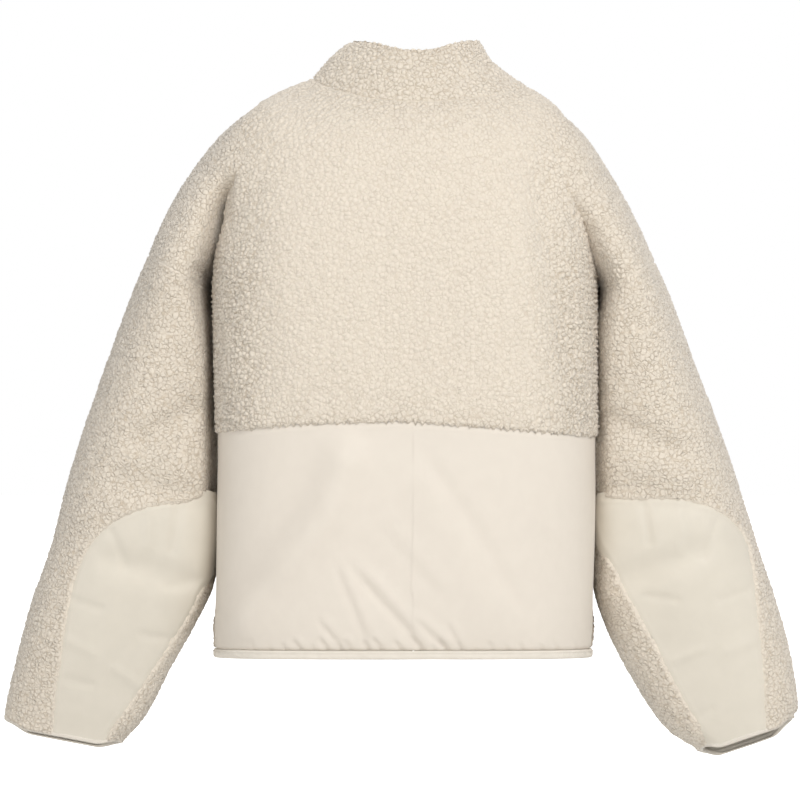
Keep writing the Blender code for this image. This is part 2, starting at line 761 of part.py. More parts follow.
def bail_mesh(name, base_y):
    """The small arch on the slider that holds the pull tab."""
    level = Vector((1, 0, 0))
    rings = []
    for index in range(BAIL_STEPS + 1):
        turn = math.pi * index / BAIL_STEPS
        cos, sin = math.cos(turn), math.sin(turn)
        centre = Vector((0, base_y + BAIL_RISE * sin, BAIL_HALF_LENGTH * cos))
        away = Vector((0, sin / BAIL_RISE, cos / BAIL_HALF_LENGTH)).normalized()
        ring = []
        for side in range(BAIL_SIDES):
            angle = 2 * math.pi * side / BAIL_SIDES
            ring.append(centre + (level * math.cos(angle) + away * math.sin(angle)) * BAIL_RADIUS)
        rings.append(ring)
    return solid_mesh(name, rings)


def bevel(item, width):
    modifier = item.modifiers.new("rounded edges", "BEVEL")
    modifier.width = width
    modifier.segments = EDGE_SEGMENTS
    modifier.limit_method = "ANGLE"


def slider_placement():
    """Where the slider sits near the top of the zip, and its lean."""
    points, _ = zip_path()
    top = points[-1]
    along = (points[-1] - points[-3]).normalized()
    lean = math.atan2(-along.y, along.z)
    outward = Vector((0, along.z, -along.y))
    seat = top - along * SLIDER_BELOW_TOP - outward * (CHAIN_DEPTH - SEAM_GAP)
    return seat, lean, outward


def build_slider(parts, cutters, materials):
    seat, lean, _ = slider_placement()
    half = SLIDER_LENGTH / 2
    top = SLIDER_TOP_WIDTH / 2
    foot = SLIDER_FOOT_WIDTH / 2
    shoulder = half * SLIDER_SHOULDER_SHARE
    nose = top * SLIDER_NOSE_SHARE
    outline = [
        (-foot, -half), (foot, -half), (top, shoulder), (nose, half), (-nose, half), (-top, shoulder),
    ]
    slider_mesh = prism_mesh("zip_slider", outline, 0, SLIDER_WALL)
    slider = add_object("zip_slider", slider_mesh, parts, materials["zip_metal"])
    slider.location = seat
    slider.rotation_euler = (lean, 0, 0)
    bevel(slider, SLIDER_EDGE)
    bail = add_cutter("slider_bail", bail_mesh("slider_bail", SLIDER_WALL - SLIDER_EDGE), cutters)
    bail.location = seat
    bail.rotation_euler = (lean, 0, 0)
    boolean(slider, bail, "UNION")


def box_mesh(name, x_size, y_from, y_to, z_from, z_to):
    bm = bmesh.new()
    size = Vector((x_size, y_to - y_from, z_to - z_from))
    middle = Vector((0, (y_from + y_to) / 2, (z_from + z_to) / 2))
    bmesh.ops.create_cube(bm, size=1.0, matrix=Matrix.LocRotScale(middle, None, size))
    return finish_mesh(name, bm)


def build_pull_tab(parts, cutters, materials):
    """Pull tab with its origin on the axis of its crossbar."""
    seat, lean, outward = slider_placement()
    axis = seat + outward * (SLIDER_WALL + TAB_LIFT)
    half_wall = TAB_WALL / 2
    top = TAB_CROSSBAR / 2
    tab_mesh = box_mesh("zip_pull", TAB_WIDTH, -half_wall, half_wall, top - TAB_LENGTH, top)
    tab = add_object("zip_pull", tab_mesh, parts, materials["zip_metal"])
    tab.location = axis
    tab.rotation_euler = (lean, 0, 0)
    bevel(tab, TAB_EDGE)
    eye_top = -TAB_CROSSBAR / 2
    eye_foot = eye_top - TAB_EYE_LENGTH
    eye_mesh = box_mesh("pull_eye", TAB_EYE_WIDTH, -EYE_REACH, EYE_REACH, eye_foot, eye_top)
    eye = add_cutter("pull_eye", eye_mesh, cutters)
    eye.location = axis
    eye.rotation_euler = (lean, 0, 0)
    boolean(tab, eye, "DIFFERENCE")


def main():
    clear_scene()
    parts = new_collection("sherpa_jacket")
    cutters = new_collection("sherpa_jacket_cutters")
    materials = {name: new_material(name, finish) for name, finish in FINISHES.items()}
    build_body_panels(parts, cutters, materials)
    build_back_lower_panel(parts, materials)
    build_collar(parts, materials)
    build_hem_binding(parts, materials)
    for side in ARM_SECTIONS:
        build_sleeve(side, parts, cutters, materials)
    build_zip(parts, materials)
    build_slider(parts, cutters, materials)
    build_pull_tab(parts, cutters, materials)


main()
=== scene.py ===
import math

import bmesh
import bpy
import numpy as np
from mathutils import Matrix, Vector
from mathutils.bvhtree import BVHTree


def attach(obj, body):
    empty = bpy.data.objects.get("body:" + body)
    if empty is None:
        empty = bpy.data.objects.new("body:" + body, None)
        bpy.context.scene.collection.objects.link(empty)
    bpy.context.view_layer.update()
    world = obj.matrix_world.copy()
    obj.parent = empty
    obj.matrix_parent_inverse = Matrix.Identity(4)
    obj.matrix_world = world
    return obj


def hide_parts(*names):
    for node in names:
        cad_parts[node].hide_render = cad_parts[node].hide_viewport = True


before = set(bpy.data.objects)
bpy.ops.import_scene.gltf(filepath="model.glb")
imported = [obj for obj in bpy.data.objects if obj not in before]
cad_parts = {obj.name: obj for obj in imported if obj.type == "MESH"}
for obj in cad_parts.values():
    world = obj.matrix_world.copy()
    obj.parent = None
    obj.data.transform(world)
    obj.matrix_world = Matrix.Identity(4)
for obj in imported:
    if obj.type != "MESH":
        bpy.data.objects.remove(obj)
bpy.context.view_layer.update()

mm = 0.001
white = (1, 1, 1, 1)


def feed(tree, node, values):
    # gives each socket, by name or number, a constant or another node's output
    for key, value in values.items():
        if isinstance(value, bpy.types.NodeSocket):
            tree.links.new(value, node.inputs[key])
        else:
            node.inputs[key].default_value = value
    return node


def newNode(tree, kind, values):
    return feed(tree, tree.nodes.new(kind), values)


def newMaterial(name):
    material = bpy.data.materials.new(name)
    material.use_nodes = True
    tree = material.node_tree
    return material, tree, tree.nodes["Principled BSDF"]


studio = {
    "aim": (-0.012, 0.0, -0.320), "cameraDistance": 10.0, "lens": 450.0,  # frames 0.8 m at the jacket
    "worldLight": 0.60,
    "floorZ": -0.80, "floorRadius": 40, "floorColor": (0.93, 0.93, 0.92, 1),
    # place, size, power
    "lamps": {"key": ((1.6, -3.9, 3.4), 1.5, 141.0), "fill": ((-1.4, -4.8, 0.3), 2.6, 34.0),
              "back": ((0.6, 4.0, 2.0), 3.0, 55.0)},
}


def makeStudio():
    scene = bpy.context.scene
    scene.view_settings.view_transform = "Standard"
    camera = bpy.data.objects.new("camera", bpy.data.cameras.new("camera"))
    scene.collection.objects.link(camera)
    x, y, z = studio["aim"]
    camera.location = (x, y - studio["cameraDistance"], z)
    camera.rotation_euler = (math.pi / 2, 0, 0)
    camera.data.lens = studio["lens"]
    camera.data.clip_end = 100
    scene.camera = camera

    world = bpy.data.worlds.new("studio")
    scene.world = world
    world.use_nodes = True
    tree = world.node_tree
    light = feed(tree, tree.nodes["Background"], {"Color": white, "Strength": studio["worldLight"]})
    wall = newNode(tree, "ShaderNodeBackground", {"Color": white})  # the camera sees a white studio wall
    sight = tree.nodes.new("ShaderNodeLightPath").outputs["Is Camera Ray"]
    mix = newNode(tree, "ShaderNodeMixShader", {0: sight, 1: light.outputs[0], 2: wall.outputs[0]})
    feed(tree, tree.nodes["World Output"], {"Surface": mix.outputs[0]})

    bpy.ops.mesh.primitive_circle_add(vertices=64, radius=studio["floorRadius"], fill_type="NGON",
                                      location=(0, 0, studio["floorZ"]))
    floor = bpy.context.object
    floor.name = "floor"
    paint, tree, shader = newMaterial("floor")
    sight = tree.nodes.new("ShaderNodeLightPath").outputs["Is Camera Ray"]  # white to the camera, no lamp to the cloth
    feed(tree, shader, {"Base Color": studio["floorColor"], "Roughness": 1, "Emission Color": white,
                        "Emission Strength": sight})
    floor.data.materials.append(paint)

    for name, (place, size, power) in studio["lamps"].items():
        light = bpy.data.objects.new(name, bpy.data.lights.new(name, "AREA"))
        scene.collection.objects.link(light)
        light.data.size = size
        light.data.energy = power
        light.location = place
        light.rotation_euler = (Vector(studio["aim"]) - light.location).to_track_quat("-Z", "Y").to_euler()


makeStudio()
print("studio ready")


def newGroup(name, inputs, outputs):
    # a shader group with numbers on its sockets: inputs with their values, and outputs
    group = bpy.data.node_groups.new(name, "ShaderNodeTree")
    for label, value in inputs.items():
        socket = group.interface.new_socket(name=label, in_out="INPUT", socket_type="NodeSocketFloat")
        socket.default_value = value
    for label in outputs:
        group.interface.new_socket(name=label, in_out="OUTPUT", socket_type="NodeSocketFloat")
    return group, group.nodes.new("NodeGroupInput").outputs, group.nodes.new("NodeGroupOutput")


def groupNode(tree, group, values):
    node = tree.nodes.new("ShaderNodeGroup")
    node.node_tree = group
    return feed(tree, node, values).outputs


def attributeNode(tree, name, output="Vector"):
    node = tree.nodes.new("ShaderNodeAttribute")
    node.attribute_name = name
    return node.outputs[output]


def mathNode(tree, operation, *values, kind="ShaderNodeMath"):
    node = tree.nodes.new(kind)
    node.operation = operation
    return feed(tree, node, dict(enumerate(values))).outputs[0]


def addUp(tree, parts, total=0.0):
    # the sum of every value times its weight
    for value, weight in parts:
        total = mathNode(tree, "MULTIPLY_ADD", value, weight, total)
    return total


def rampNode(tree, value, low, high):
    node = newNode(tree, "ShaderNodeMapRange", {"Value": value, "From Min": low, "From Max": high})
    node.interpolation_type = "SMOOTHSTEP"
    return node.outputs["Result"]


def noiseNode(tree, place, scale, detail, distortion=0.0):
    values = {"Vector": place, "Scale": scale, "Detail": detail, "Distortion": distortion}
    return newNode(tree, "ShaderNodeTexNoise", values).outputs


def cellNode(tree, place, scale, feature):
    node = newNode(tree, "ShaderNodeTexVoronoi", {"Vector": place, "Scale": scale})
    node.feature = feature
    return node.outputs["Distance"]


def mixColor(tree, factor, first, second):
    node = tree.nodes.new("ShaderNodeMix")
    node.data_type = "RGBA"
    first, second = ((*color, 1) if isinstance(color, tuple) else color for color in (first, second))
    return feed(tree, node, {0: factor, 6: first, 7: second}).outputs[2]


def wanderNodes(tree, place, scale, amount):
    # the place moved about by a noise, so that cells on it have curly edges
    kind = "ShaderNodeVectorMath"
    centred = mathNode(tree, "SUBTRACT", noiseNode(tree, place, scale, 1.0)["Color"], (0.5,) * 3, kind=kind)
    return mathNode(tree, "MULTIPLY_ADD", centred, (amount,) * 3, place, kind=kind)


pileLook = {
    "clumpSize": 4.4 * mm, "wander": 3.6 * mm, "curlWander": 1.5 * mm,
    "wanderScale": 0.55, "curlWanderScale": 2.2,  # waves for each clump
    # the crevice colour is painted shade, darker between the clumps where shade falls; the two tip colours are the
    # pile's own tone, mixed at random in patches
    "creviceShadeColor": (0.585, 0.49, 0.375), "tipColor": (0.81, 0.725, 0.61), "tipColorCool": (0.80, 0.715, 0.603),
    "creviceWidth": 0.19, "patchScale": 28.0, "patchRange": (0.35, 0.68),
    # the net of crevices, with its painted shade and its bump, closes up here and there
    "gapScale": 1.1, "gapRange": (0.36, 0.62), "openness": (0.55, 0.35),
    "curlScale": 2.6, "fibreScale": 1900, "fibreDistortion": 1.2,
    "bump": {"crevice": 0.4, "dome": -0.8, "curl": -0.4, "fibre": 0.3}, "bumpDistance": 1.5 * mm, "bumpStrength": 0.9,
    # mesh relief from a crevice to a clump's top, and its parts
    "relief": 1.9 * mm, "ridgeWidth": 0.34, "ridge": 0.75, "dome": -0.35, "lumps": 0.9, "lumpScale": 75, "level": -1.15,
    "tipRise": 0.7 * mm,
    "roughness": 0.95, "sheen": 0.35, "sheenRoughness": 0.6, "specular": 0.2,
}


def curlNodes(tree, place):
    # shared by the mesh relief and the shader: distance to a clump's edge, and its dome
    size = pileLook["clumpSize"]
    wide = wanderNodes(tree, place, pileLook["wanderScale"] / size, pileLook["wander"])
    moved = wanderNodes(tree, wide, pileLook["curlWanderScale"] / size, pileLook["curlWander"])
    return cellNode(tree, moved, 1 / size, "DISTANCE_TO_EDGE"), cellNode(tree, moved, 1 / size, "F1"), moved


def makeCurlGroup():
    group, start, end = newGroup("pile curls", {"Crevice Width": pileLook["creviceWidth"],
                                                "Patch Scale": pileLook["patchScale"]},
                                 ("Crevice", "Height", "Patchiness"))
    size = pileLook["clumpSize"]
    place = attributeNode(group, "rest")
    edge, dome, moved = curlNodes(group, place)
    crevice = rampNode(group, edge, 0.0, start["Crevice Width"])
    gaps = rampNode(group, noiseNode(group, place, pileLook["gapScale"] / size, 1)["Fac"], *pileLook["gapRange"])
    openness = mathNode(group, "MULTIPLY_ADD", gaps, *pileLook["openness"])
    strength = mathNode(group, "POWER", attributeNode(group, "pile", "Fac"), 2.0)
    openness = mathNode(group, "MULTIPLY", openness, strength)
    closed = mathNode(group, "MULTIPLY", mathNode(group, "SUBTRACT", 1.0, crevice), openness)
    crevice = mathNode(group, "SUBTRACT", 1.0, closed)
    parts = {
        "crevice": crevice, "dome": dome,
        "curl": cellNode(group, moved, pileLook["curlScale"] / size, "SMOOTH_F1"),  # single curls inside a clump
        "fibre": noiseNode(group, place, pileLook["fibreScale"], 3, pileLook["fibreDistortion"])["Fac"],
    }
    patches = noiseNode(group, place, start["Patch Scale"], 4)["Fac"]
    # Crevice is the mask for painted shade: low between the clumps, where the colour darkens; the same crevices also go
    # into the bump's height
    feed(group, end, {"Crevice": crevice, "Patchiness": rampNode(group, patches, *pileLook["patchRange"]),
                      "Height": addUp(group, [(parts[name], weight) for name, weight in pileLook["bump"].items()])})
    return group


def makeWeaveGroup():
    group, start, end = newGroup("plain weave", {"Threads Per Metre": 1800.0}, ("Height", "Unevenness"))
    place = attributeNode(group, "weave")
    split = newNode(group, "ShaderNodeSeparateXYZ", {0: place}).outputs
    waves = []
    for axis in ("X", "Y"):
        turn = mathNode(group, "MULTIPLY", split[axis], start["Threads Per Metre"])
        waves.append(mathNode(group, "SINE", mathNode(group, "MULTIPLY", turn, math.pi)))
    slub = noiseNode(group, place, 60, 5)["Fac"]
    feed(group, end, {"Height": mathNode(group, "ADD", mathNode(group, "MULTIPLY", *waves), slub),
                      "Unevenness": rampNode(group, slub, 0.3, 0.7)})
    return group


def makeWearGroup():
    group, start, end = newGroup("edge wear", {"Grain Scale": 420.0}, ("Wear", "Grain"))
    place = group.nodes.new("ShaderNodeTexCoord").outputs["Object"]
    grain = noiseNode(group, place, start["Grain Scale"], 6)["Fac"]
    edges = rampNode(group, group.nodes.new("ShaderNodeNewGeometry").outputs["Pointiness"], 0.50, 0.58)
    feed(group, end, {"Wear": mathNode(group, "MULTIPLY", edges, grain), "Grain": grain})
    return group


curlGroup = makeCurlGroup()
weaveGroup = makeWeaveGroup()
wearGroup = makeWearGroup()


def bumpInto(tree, shader, height, distance, strength):
    bump = newNode(tree, "ShaderNodeBump", {"Distance": distance, "Strength": strength, "Height": height})
    feed(tree, shader, {"Normal": bump.outputs["Normal"]})


def makePileMaterial():
    material, tree, shader = newMaterial("sherpaPile")
    curls = groupNode(tree, curlGroup, {})
    tips = mixColor(tree, curls["Patchiness"], pileLook["tipColor"], pileLook["tipColorCool"])
    # painted shade: the darker crevice colour is mixed in between the clumps, over the tips' own tone
    feed(tree, shader, {"Base Color": mixColor(tree, curls["Crevice"], pileLook["creviceShadeColor"], tips),
                        "Roughness": pileLook["roughness"], "Sheen Weight": pileLook["sheen"],
                        "Sheen Roughness": pileLook["sheenRoughness"], "Specular IOR Level": pileLook["specular"]})
    bumpInto(tree, shader, curls["Height"], pileLook["bumpDistance"], pileLook["bumpStrength"])
    return material


def makeWovenMaterial(name, first, second, threads, roughness, sheen=0.2, specular=0.5, bump=0.25, strength=1.0):
    material, tree, shader = newMaterial(name)
    weave = groupNode(tree, weaveGroup, {"Threads Per Metre": threads})
    feed(tree, shader, {"Base Color": mixColor(tree, weave["Unevenness"], first, second), "Roughness": roughness,
                        "Sheen Weight": sheen, "Specular IOR Level": specular})
    bumpInto(tree, shader, weave["Height"], bump * mm, strength)
    return material


wornLook = {"grainRoughness": 0.25, "smoother": 0.12, "bump": 0.04 * mm, "bumpStrength": 0.5}


def makeWornMaterial(name, color, dull, roughness, metallic, grain):
    material, tree, shader = newMaterial(name)
    worn = groupNode(tree, wearGroup, {"Grain Scale": grain})
    rough = mathNode(tree, "MULTIPLY_ADD", worn["Grain"], wornLook["grainRoughness"], roughness - wornLook["smoother"])
    feed(tree, shader, {"Base Color": mixColor(tree, worn["Wear"], dull, color), "Roughness": rough,
                        "Metallic": metallic})
    bumpInto(tree, shader, worn["Grain"], wornLook["bump"], wornLook["bumpStrength"])
    return material


satin = {"sheen": 0.15, "specular": 0.35, "bump": 0.06, "strength": 0.6}
materials = {
    "pile": makePileMaterial(),
    "nylon": makeWovenMaterial("satinNylon", (0.722, 0.655, 0.570), (0.735, 0.668, 0.582), 1500, 0.52, **satin),
    "patchNylon": makeWovenMaterial("patchNylon", (0.680, 0.626, 0.532), (0.695, 0.640, 0.545), 1500, 0.52, **satin),
    "backing": makeWovenMaterial("knitBacking", (0.76, 0.70, 0.60), (0.70, 0.64, 0.54), 900, 0.9),
    "binding": makeWovenMaterial("elasticBinding", (0.84, 0.775, 0.68), (0.80, 0.735, 0.64), 700, 0.7),
    "tape": makeWovenMaterial("zipTape", (0.78, 0.71, 0.61), (0.72, 0.65, 0.55), 1100, 0.8),
    "thread": makeWovenMaterial("sewingThread", (0.80, 0.73, 0.63), (0.76, 0.69, 0.59), 2500, 0.6),
    "teeth": makeWornMaterial("zipTeeth", (0.74, 0.68, 0.58), (0.66, 0.60, 0.50), 0.42, 0.0, 900.0),
    "metal": makeWornMaterial("zipMetal", (0.66, 0.64, 0.61), (0.50, 0.48, 0.45), 0.36, 1.0, 420.0),
}
print("materials ready")

# the jacket's form is in millimetres, in rows from the hem up
# left right zLeft zRight zBack zFront back front power arch
torsoRows = np.array((
    (-199, 181, -568, -568, -568, -568, -127, 122, 3.0, 1.6),
    (-200, 184, -530, -530, -530, -530, -133, 127, 3.0, 1.6),
    (-199, 187, -440, -440, -440, -440, -135, 131, 3.0, 1.6),
    (-198, 187, -350, -350, -350, -350, -134, 134, 3.1, 1.6),
    (-200, 187, -265, -265, -265, -265, -132, 137, 3.2, 1.6),
    (-199, 185, -195, -195, -195, -195, -130, 136, 3.2, 1.6),
    (-190, 177, -132, -132, -142, -155, -125, 130, 3.0, 1.6),
    (-179, 166, -80, -80, -100, -126, -117, 120, 2.7, 1.6),
    (-168, 154, -41, -41, -66, -104, -107, 108, 2.5, 1.6),
    (-140, 136, -16, -20, -42, -88, -96, 95, 2.3, 1.6),
    (-99, 115, 2, -6.5, -23, -74, -83, 80, 2.1, 1.6),
))
collarRows = np.array((
    (-99, 115, 2, -6.5, -23, -74, -83, 80, 2.1, 1.6),
    (-84, 82, 20, 17, 0, -46, -76, 79, 2.0, 2.0),
    (-69, 72, 33, 32, 18, -18, -70, 76, 2.0, 3.2),
    (-59, 68, 40, 40, 29, 7, -66, 73, 2.0, 4.5),
))
# outerX outerZ innerX innerZ halfDepth yMiddle frontDrop
armRows = {
    "left": np.array((
        (-150, -25, -82, -120, 60, 4, 0), (-189, -53, -122, -165, 74, 8, 0), (-225, -98, -160, -190, 86, 16, 0),
        (-249, -140, -186, -200, 93, 22, 0), (-264, -175, -204, -209, 96, 26, 0), (-283, -220, -198, -256, 94, 28, 0),
        (-305, -280, -196, -315, 90, 28, 0), (-326, -340, -195, -372, 86, 28, 0), (-346, -404, -195, -432, 82, 28, 0),
        (-363, -470, -197, -496, 78, 29, 0), (-382, -524, -216, -542, 71, 31, 1), (-396, -576, -242, -588, 60, 34, 2),
        (-405, -614, -263, -629, 47, 37, 2), (-411, -645, -290, -668, 35, 40, 3)), float),
    "right": np.array((
        (136, -27, 78, -120, 60, 2, 0), (170, -53, 110, -165, 74, 2, 0), (201, -98, 144, -190, 86, 8, 0),
        (224, -140, 171, -200, 93, 14, 0), (243, -182, 190, -210, 95, 18, 0), (260, -220, 184, -253, 94, 22, 0),
        (282, -280, 183, -313, 90, 25, 0), (305, -340, 183, -371, 86, 26, 0), (327, -404, 183, -432, 82, 28, 0),
        (348, -470, 181, -498, 78, 29, 0), (366, -524, 193, -543, 71, 31, 1), (380, -576, 215, -588, 62, 34, 3),
        (387, -620, 248, -640, 54, 38, 5), (386, -643, 288, -676, 47, 40, 6)), float),
}
armSeamRow = 4
armPower = 2.25
innerFlat = 1.6
cuffRound = 7.0
# x0 z0 x1 z1 halfWidth depth
backFolds = ((128, -110, 158, -270, 18, 7), (-172, -150, -150, -300, 26, 4), (-95, -390, -150, -500, 34, 3.0),
             (13, -380, 108, -520, 26, 2.0), (-40, -480, 20, -550, 22, 1.5), (133, -460, 163, -540, 20, 2.0))
frontFolds = ((-130, -130, -160, -300, 22, 7), (120, -120, 150, -260, 24, 6), (-60, -360, -130, -530, 30, 6),
              (45, -400, 110, -540, 26, 5))
armFolds = {
    "left": ((-215, -330, -270, -360, 14, 6), (-214, -420, -290, -400, 16, 6), (-225, -500, -300, -480, 14, 5)),
    "right": ((200, -340, 262, -372, 14, 6), (202, -410, 280, -420, 16, 6), (208, -500, 286, -470, 14, 5)),
}
sideDent = {"depth": 6.5, "y": 30, "halfWidth": 45, "top": -205, "foot": -550, "fade": 45}
yokeLine = np.array(((-230, -351), (-199, -350), (-112, -342), (-12, -339), (88, -346), (182, -354), (220, -356)),
                    float)
patchOutlines = {
    "left": ((-190, -419), (-225, -420), (-262, -425), (-298, -440), (-322, -462), (-337, -492), (-346, -530),
             (-353, -580), (-359, -620), (-358, -700), (-306, -700), (-303, -660), (-284, -632), (-262, -600),
             (-222, -540), (-207, -510), (-190, -490)),
    "right": ((180, -419), (225, -417), (268, -418), (306, -428), (333, -451), (343, -484), (349, -540),
              (353, -580), (355, -620), (354, -700), (298, -700), (290, -658), (275, -630),
              (246, -577), (214, -519), (199, -489), (180, -457)),
}
patchDepthY = 26
sideSeamY = 18
pileWall = 5.0
nylonDrop = 2.6
zipHalfWidth = 9
direction = {"left": -1, "right": 1}
frontColumn, heightColumn = 7, 4  # in torsoRows
facingFull = 1 / 1.2  # cloth that faces the back or front at least this much shows its folds in full


def rowsAt(table, position):
    # the table's row at any position between its rows, on a smooth curve
    position = np.asarray(position, float)
    index = np.clip(position.astype(int), 0, len(table) - 2)
    share = (position - index)[..., None]
    before, here, there, after = (table[np.clip(index + step, 0, len(table) - 1)] for step in (-1, 0, 1, 2))
    slope, nextSlope = (there - before) / 2, (after - here) / 2
    square, cube = share ** 2, share ** 3
    return ((2 * cube - 3 * square + 1) * here + (cube - 2 * square + share) * slope
            + (3 * square - 2 * cube) * there + (cube - square) * nextSlope)


def roundedTurn(angle, power):
    # cosine and sine for a ring that is squarer the higher its power
    factor = (abs(np.cos(angle)) ** power + abs(np.sin(angle)) ** power) ** (-1 / power)
    return factor * np.cos(angle), factor * np.sin(angle)


def bodyPoints(table, position, angle):
    position, angle = np.broadcast_arrays(position, angle)
    left, right, zLeft, zRight, zBack, zFront, back, front, power, arch = np.moveaxis(rowsAt(table, position), -1, 0)
    across, deep = roundedTurn(angle, power)
    zSide = (zLeft + zRight) / 2 + across * (zRight - zLeft) / 2
    z = zSide + (np.where(deep > 0, zFront, zBack) - zSide) * abs(deep) ** arch
    return np.stack(((left + right) / 2 + (right - left) / 2 * across, np.where(deep > 0, front, -back) * deep, z), -1)


def ease(value):
    share = np.clip(value, 0, 1)
    return share * share * (3 - 2 * share)


def segmentDistance(x, z, x0, z0, x1, z1):
    dx, dz = x1 - x0, z1 - z0
    share = np.clip(((x - x0) * dx + (z - z0) * dz) / max(dx * dx + dz * dz, 1e-9), 0, 1)
    return np.hypot(x - x0 - share * dx, z - z0 - share * dz)


def foldSink(x, z, folds):
    return sum(depth * np.exp(-(segmentDistance(x, z, *line) / halfWidth) ** 2) for *line, halfWidth, depth in folds)


sleeveForm = {
    "lean": 6.0, "leanFoot": -500, "leanFade": 60,  # how far it leans on the body, and down to where
    "flatFrom": 3, "foldCap": 1.3,
    "cuffRow": 12.2, "cuffRows": 0.8, "cuffCorner": 0.55,
}


def armPoints(side, position, angle, inset=0.0, shift=0.0):
    position, angle = np.broadcast_arrays(position, angle)
    outerX, outerZ, innerX, innerZ, halfDepth, yMiddle, frontDrop = np.moveaxis(rowsAt(armRows[side], position), -1, 0)
    width = np.hypot(innerX - outerX, innerZ - outerZ)
    acrossX, acrossZ = (innerX - outerX) / width, (innerZ - outerZ) / width
    down = np.where(acrossX > 0, -1, 1)
    downX, downZ = -acrossZ * down, acrossX * down  # square to the ring, down the arm
    fromTop = position - sleeveForm["flatFrom"]
    flat = innerFlat * ease(np.cos(angle)) * ease(fromTop / 2)  # flatter where it lies at the body
    cos, sin = roundedTurn(angle, armPower + flat)
    middleX, middleZ = (outerX + innerX) / 2, (outerZ + innerZ) / 2
    roughX, roughZ = middleX + acrossX * width / 2 * cos, middleZ + acrossZ * width / 2 * cos
    sink = foldSink(roughX, roughZ, armFolds[side]) * np.minimum(abs(sin) * sleeveForm["foldCap"], 1)
    depth = (halfDepth - inset - sink) * sin
    corner = ease((abs(cos) - sleeveForm["cuffCorner"]) / (1 - sleeveForm["cuffCorner"]))
    shift = shift - cuffRound * corner * ease((position - sleeveForm["cuffRow"]) / sleeveForm["cuffRows"])
    leaning = ease((roughZ - sleeveForm["leanFoot"]) / sleeveForm["leanFade"]) * ease(fromTop)
    lean = sleeveForm["lean"] * np.maximum(cos, 0) ** 2 * leaning
    reach = (width / 2 - inset + lean) * cos
    return np.stack((middleX + acrossX * reach + downX * shift, yMiddle + depth,
                     middleZ + acrossZ * reach - frontDrop / halfDepth * depth + downZ * shift), -1)


def gridNormals(points, closed=False):
    around = np.roll(points, -1, axis=1) - np.roll(points, 1, axis=1) if closed else np.gradient(points, axis=1)
    normals = np.cross(around, np.gradient(points, axis=0))
    return normals / np.maximum(np.linalg.norm(normals, axis=2, keepdims=True), 1e-9)


def pointOut(normals, points, middle):
    # turns them all round if they point to the middle
    return normals * np.sign((normals * (points - middle)).sum(-1).mean())


def foldBody(points, normals):
    x, y, z = np.moveaxis(points, -1, 0)
    sink = np.where(y > 0, foldSink(x, z, frontFolds), foldSink(x, z, backFolds))
    sink = sink * np.minimum(abs(normals[..., 1]) / facingFull, 1)
    height = ease((sideDent["top"] - z) / sideDent["fade"]) * ease((z - sideDent["foot"]) / sideDent["fade"])
    across = np.exp(-((y - sideDent["y"]) / sideDent["halfWidth"]) ** 2)
    sink = sink + sideDent["depth"] * height * across * abs(normals[..., 0])
    return points - normals * sink[..., None]


def bodySurface(table, positions, angles, closed=False):
    # points and outward normals of the folded body
    points = bodyPoints(table, positions, angles)
    normals = pointOut(gridNormals(points, closed), points, (-7, 0, 0))
    return foldBody(points, normals), normals


def lineRelief(x, z, lines, fade, profile):
    # relief along straight lines, fading at both ends; each line ends with what its profile needs and its height
    relief = np.zeros(np.shape(x))
    for x0, z0, x1, z1, *widths, height in lines:
        dx, dz = x1 - x0, z1 - z0
        length = math.hypot(dx, dz)
        share = ((x - x0) * dx + (z - z0) * dz) / length ** 2
        aside = ((x - x0) * dz - (z - z0) * dx) / length
        ends = ease((share + fade) / (2 * fade)) * ease((1 + fade - share) / (2 * fade))
        relief += height * ends * profile(aside, *widths)
    return relief


def creaseRelief(x, z, creases):
    # pressed creases: a trough with a ridge on its right
    def profile(aside, halfWidth):
        return 0.8 * np.exp(-((aside - 1.7 * halfWidth) / (1.3 * halfWidth)) ** 2) - np.exp(-(aside / halfWidth) ** 2)

    return lineRelief(x, z, creases, 0.25, profile)


def swellRelief(x, z, swells):
    # broad soft folds, each with its own width on the left and the right of its crest
    def profile(aside, leftWidth, rightWidth):
        return np.exp(-(aside / np.where(aside < 0, leftWidth, rightWidth)) ** 2)

    return lineRelief(x, z, swells, 0.3, profile)


def runAlong(points):
    # distance along a path from its first point to each of its points
    return np.concatenate(([0], np.cumsum(np.linalg.norm(np.diff(points, axis=0), axis=1))))


def pathAt(path, run, places):
    return np.stack([np.interp(places, run, path[:, axis]) for axis in range(3)], -1)


def evenPositions(points, values, spacing):
    # values at which the points stand evenly
    run = runAlong(points)
    return np.interp(np.linspace(0, run[-1], int(run[-1] / spacing) + 1), run, values)


def evenAngles(table, row, first, last, spacing):
    values = np.linspace(first, last, 800)
    return evenPositions(bodyPoints(table, row, values), values, spacing)


def distanceFrom(points, others):
    return np.linalg.norm(points - others, axis=-1)


def wobble(value, seed):
    # an uneven wave with no step in it, from -1 to 1
    return (np.sin(value * 0.37 + seed) + np.sin(value * 0.83 + seed * 2.1) + np.sin(value * 1.91 + seed * 3.7)) / 3


def diveAt(distance, radius):
    # how far a rolled edge sinks at this distance from a seam
    share = 1 - np.clip(distance / radius, 0, 1)
    return radius * (1 - np.sqrt(1 - share * share))


def smoothOutline(points, steps=6):
    points = np.array(points, float)
    curve = []
    for index in range(len(points)):
        before, here, there, after = (points[(index + step) % len(points)] for step in (-1, 0, 1, 2))
        for share in np.arange(steps) / steps:
            curve.append(0.5 * (2 * here + (there - before) * share
                                + (2 * before - 5 * here + 4 * there - after) * share ** 2
                                + (3 * here - before - 3 * there + after) * share ** 3))
    return np.array(curve)


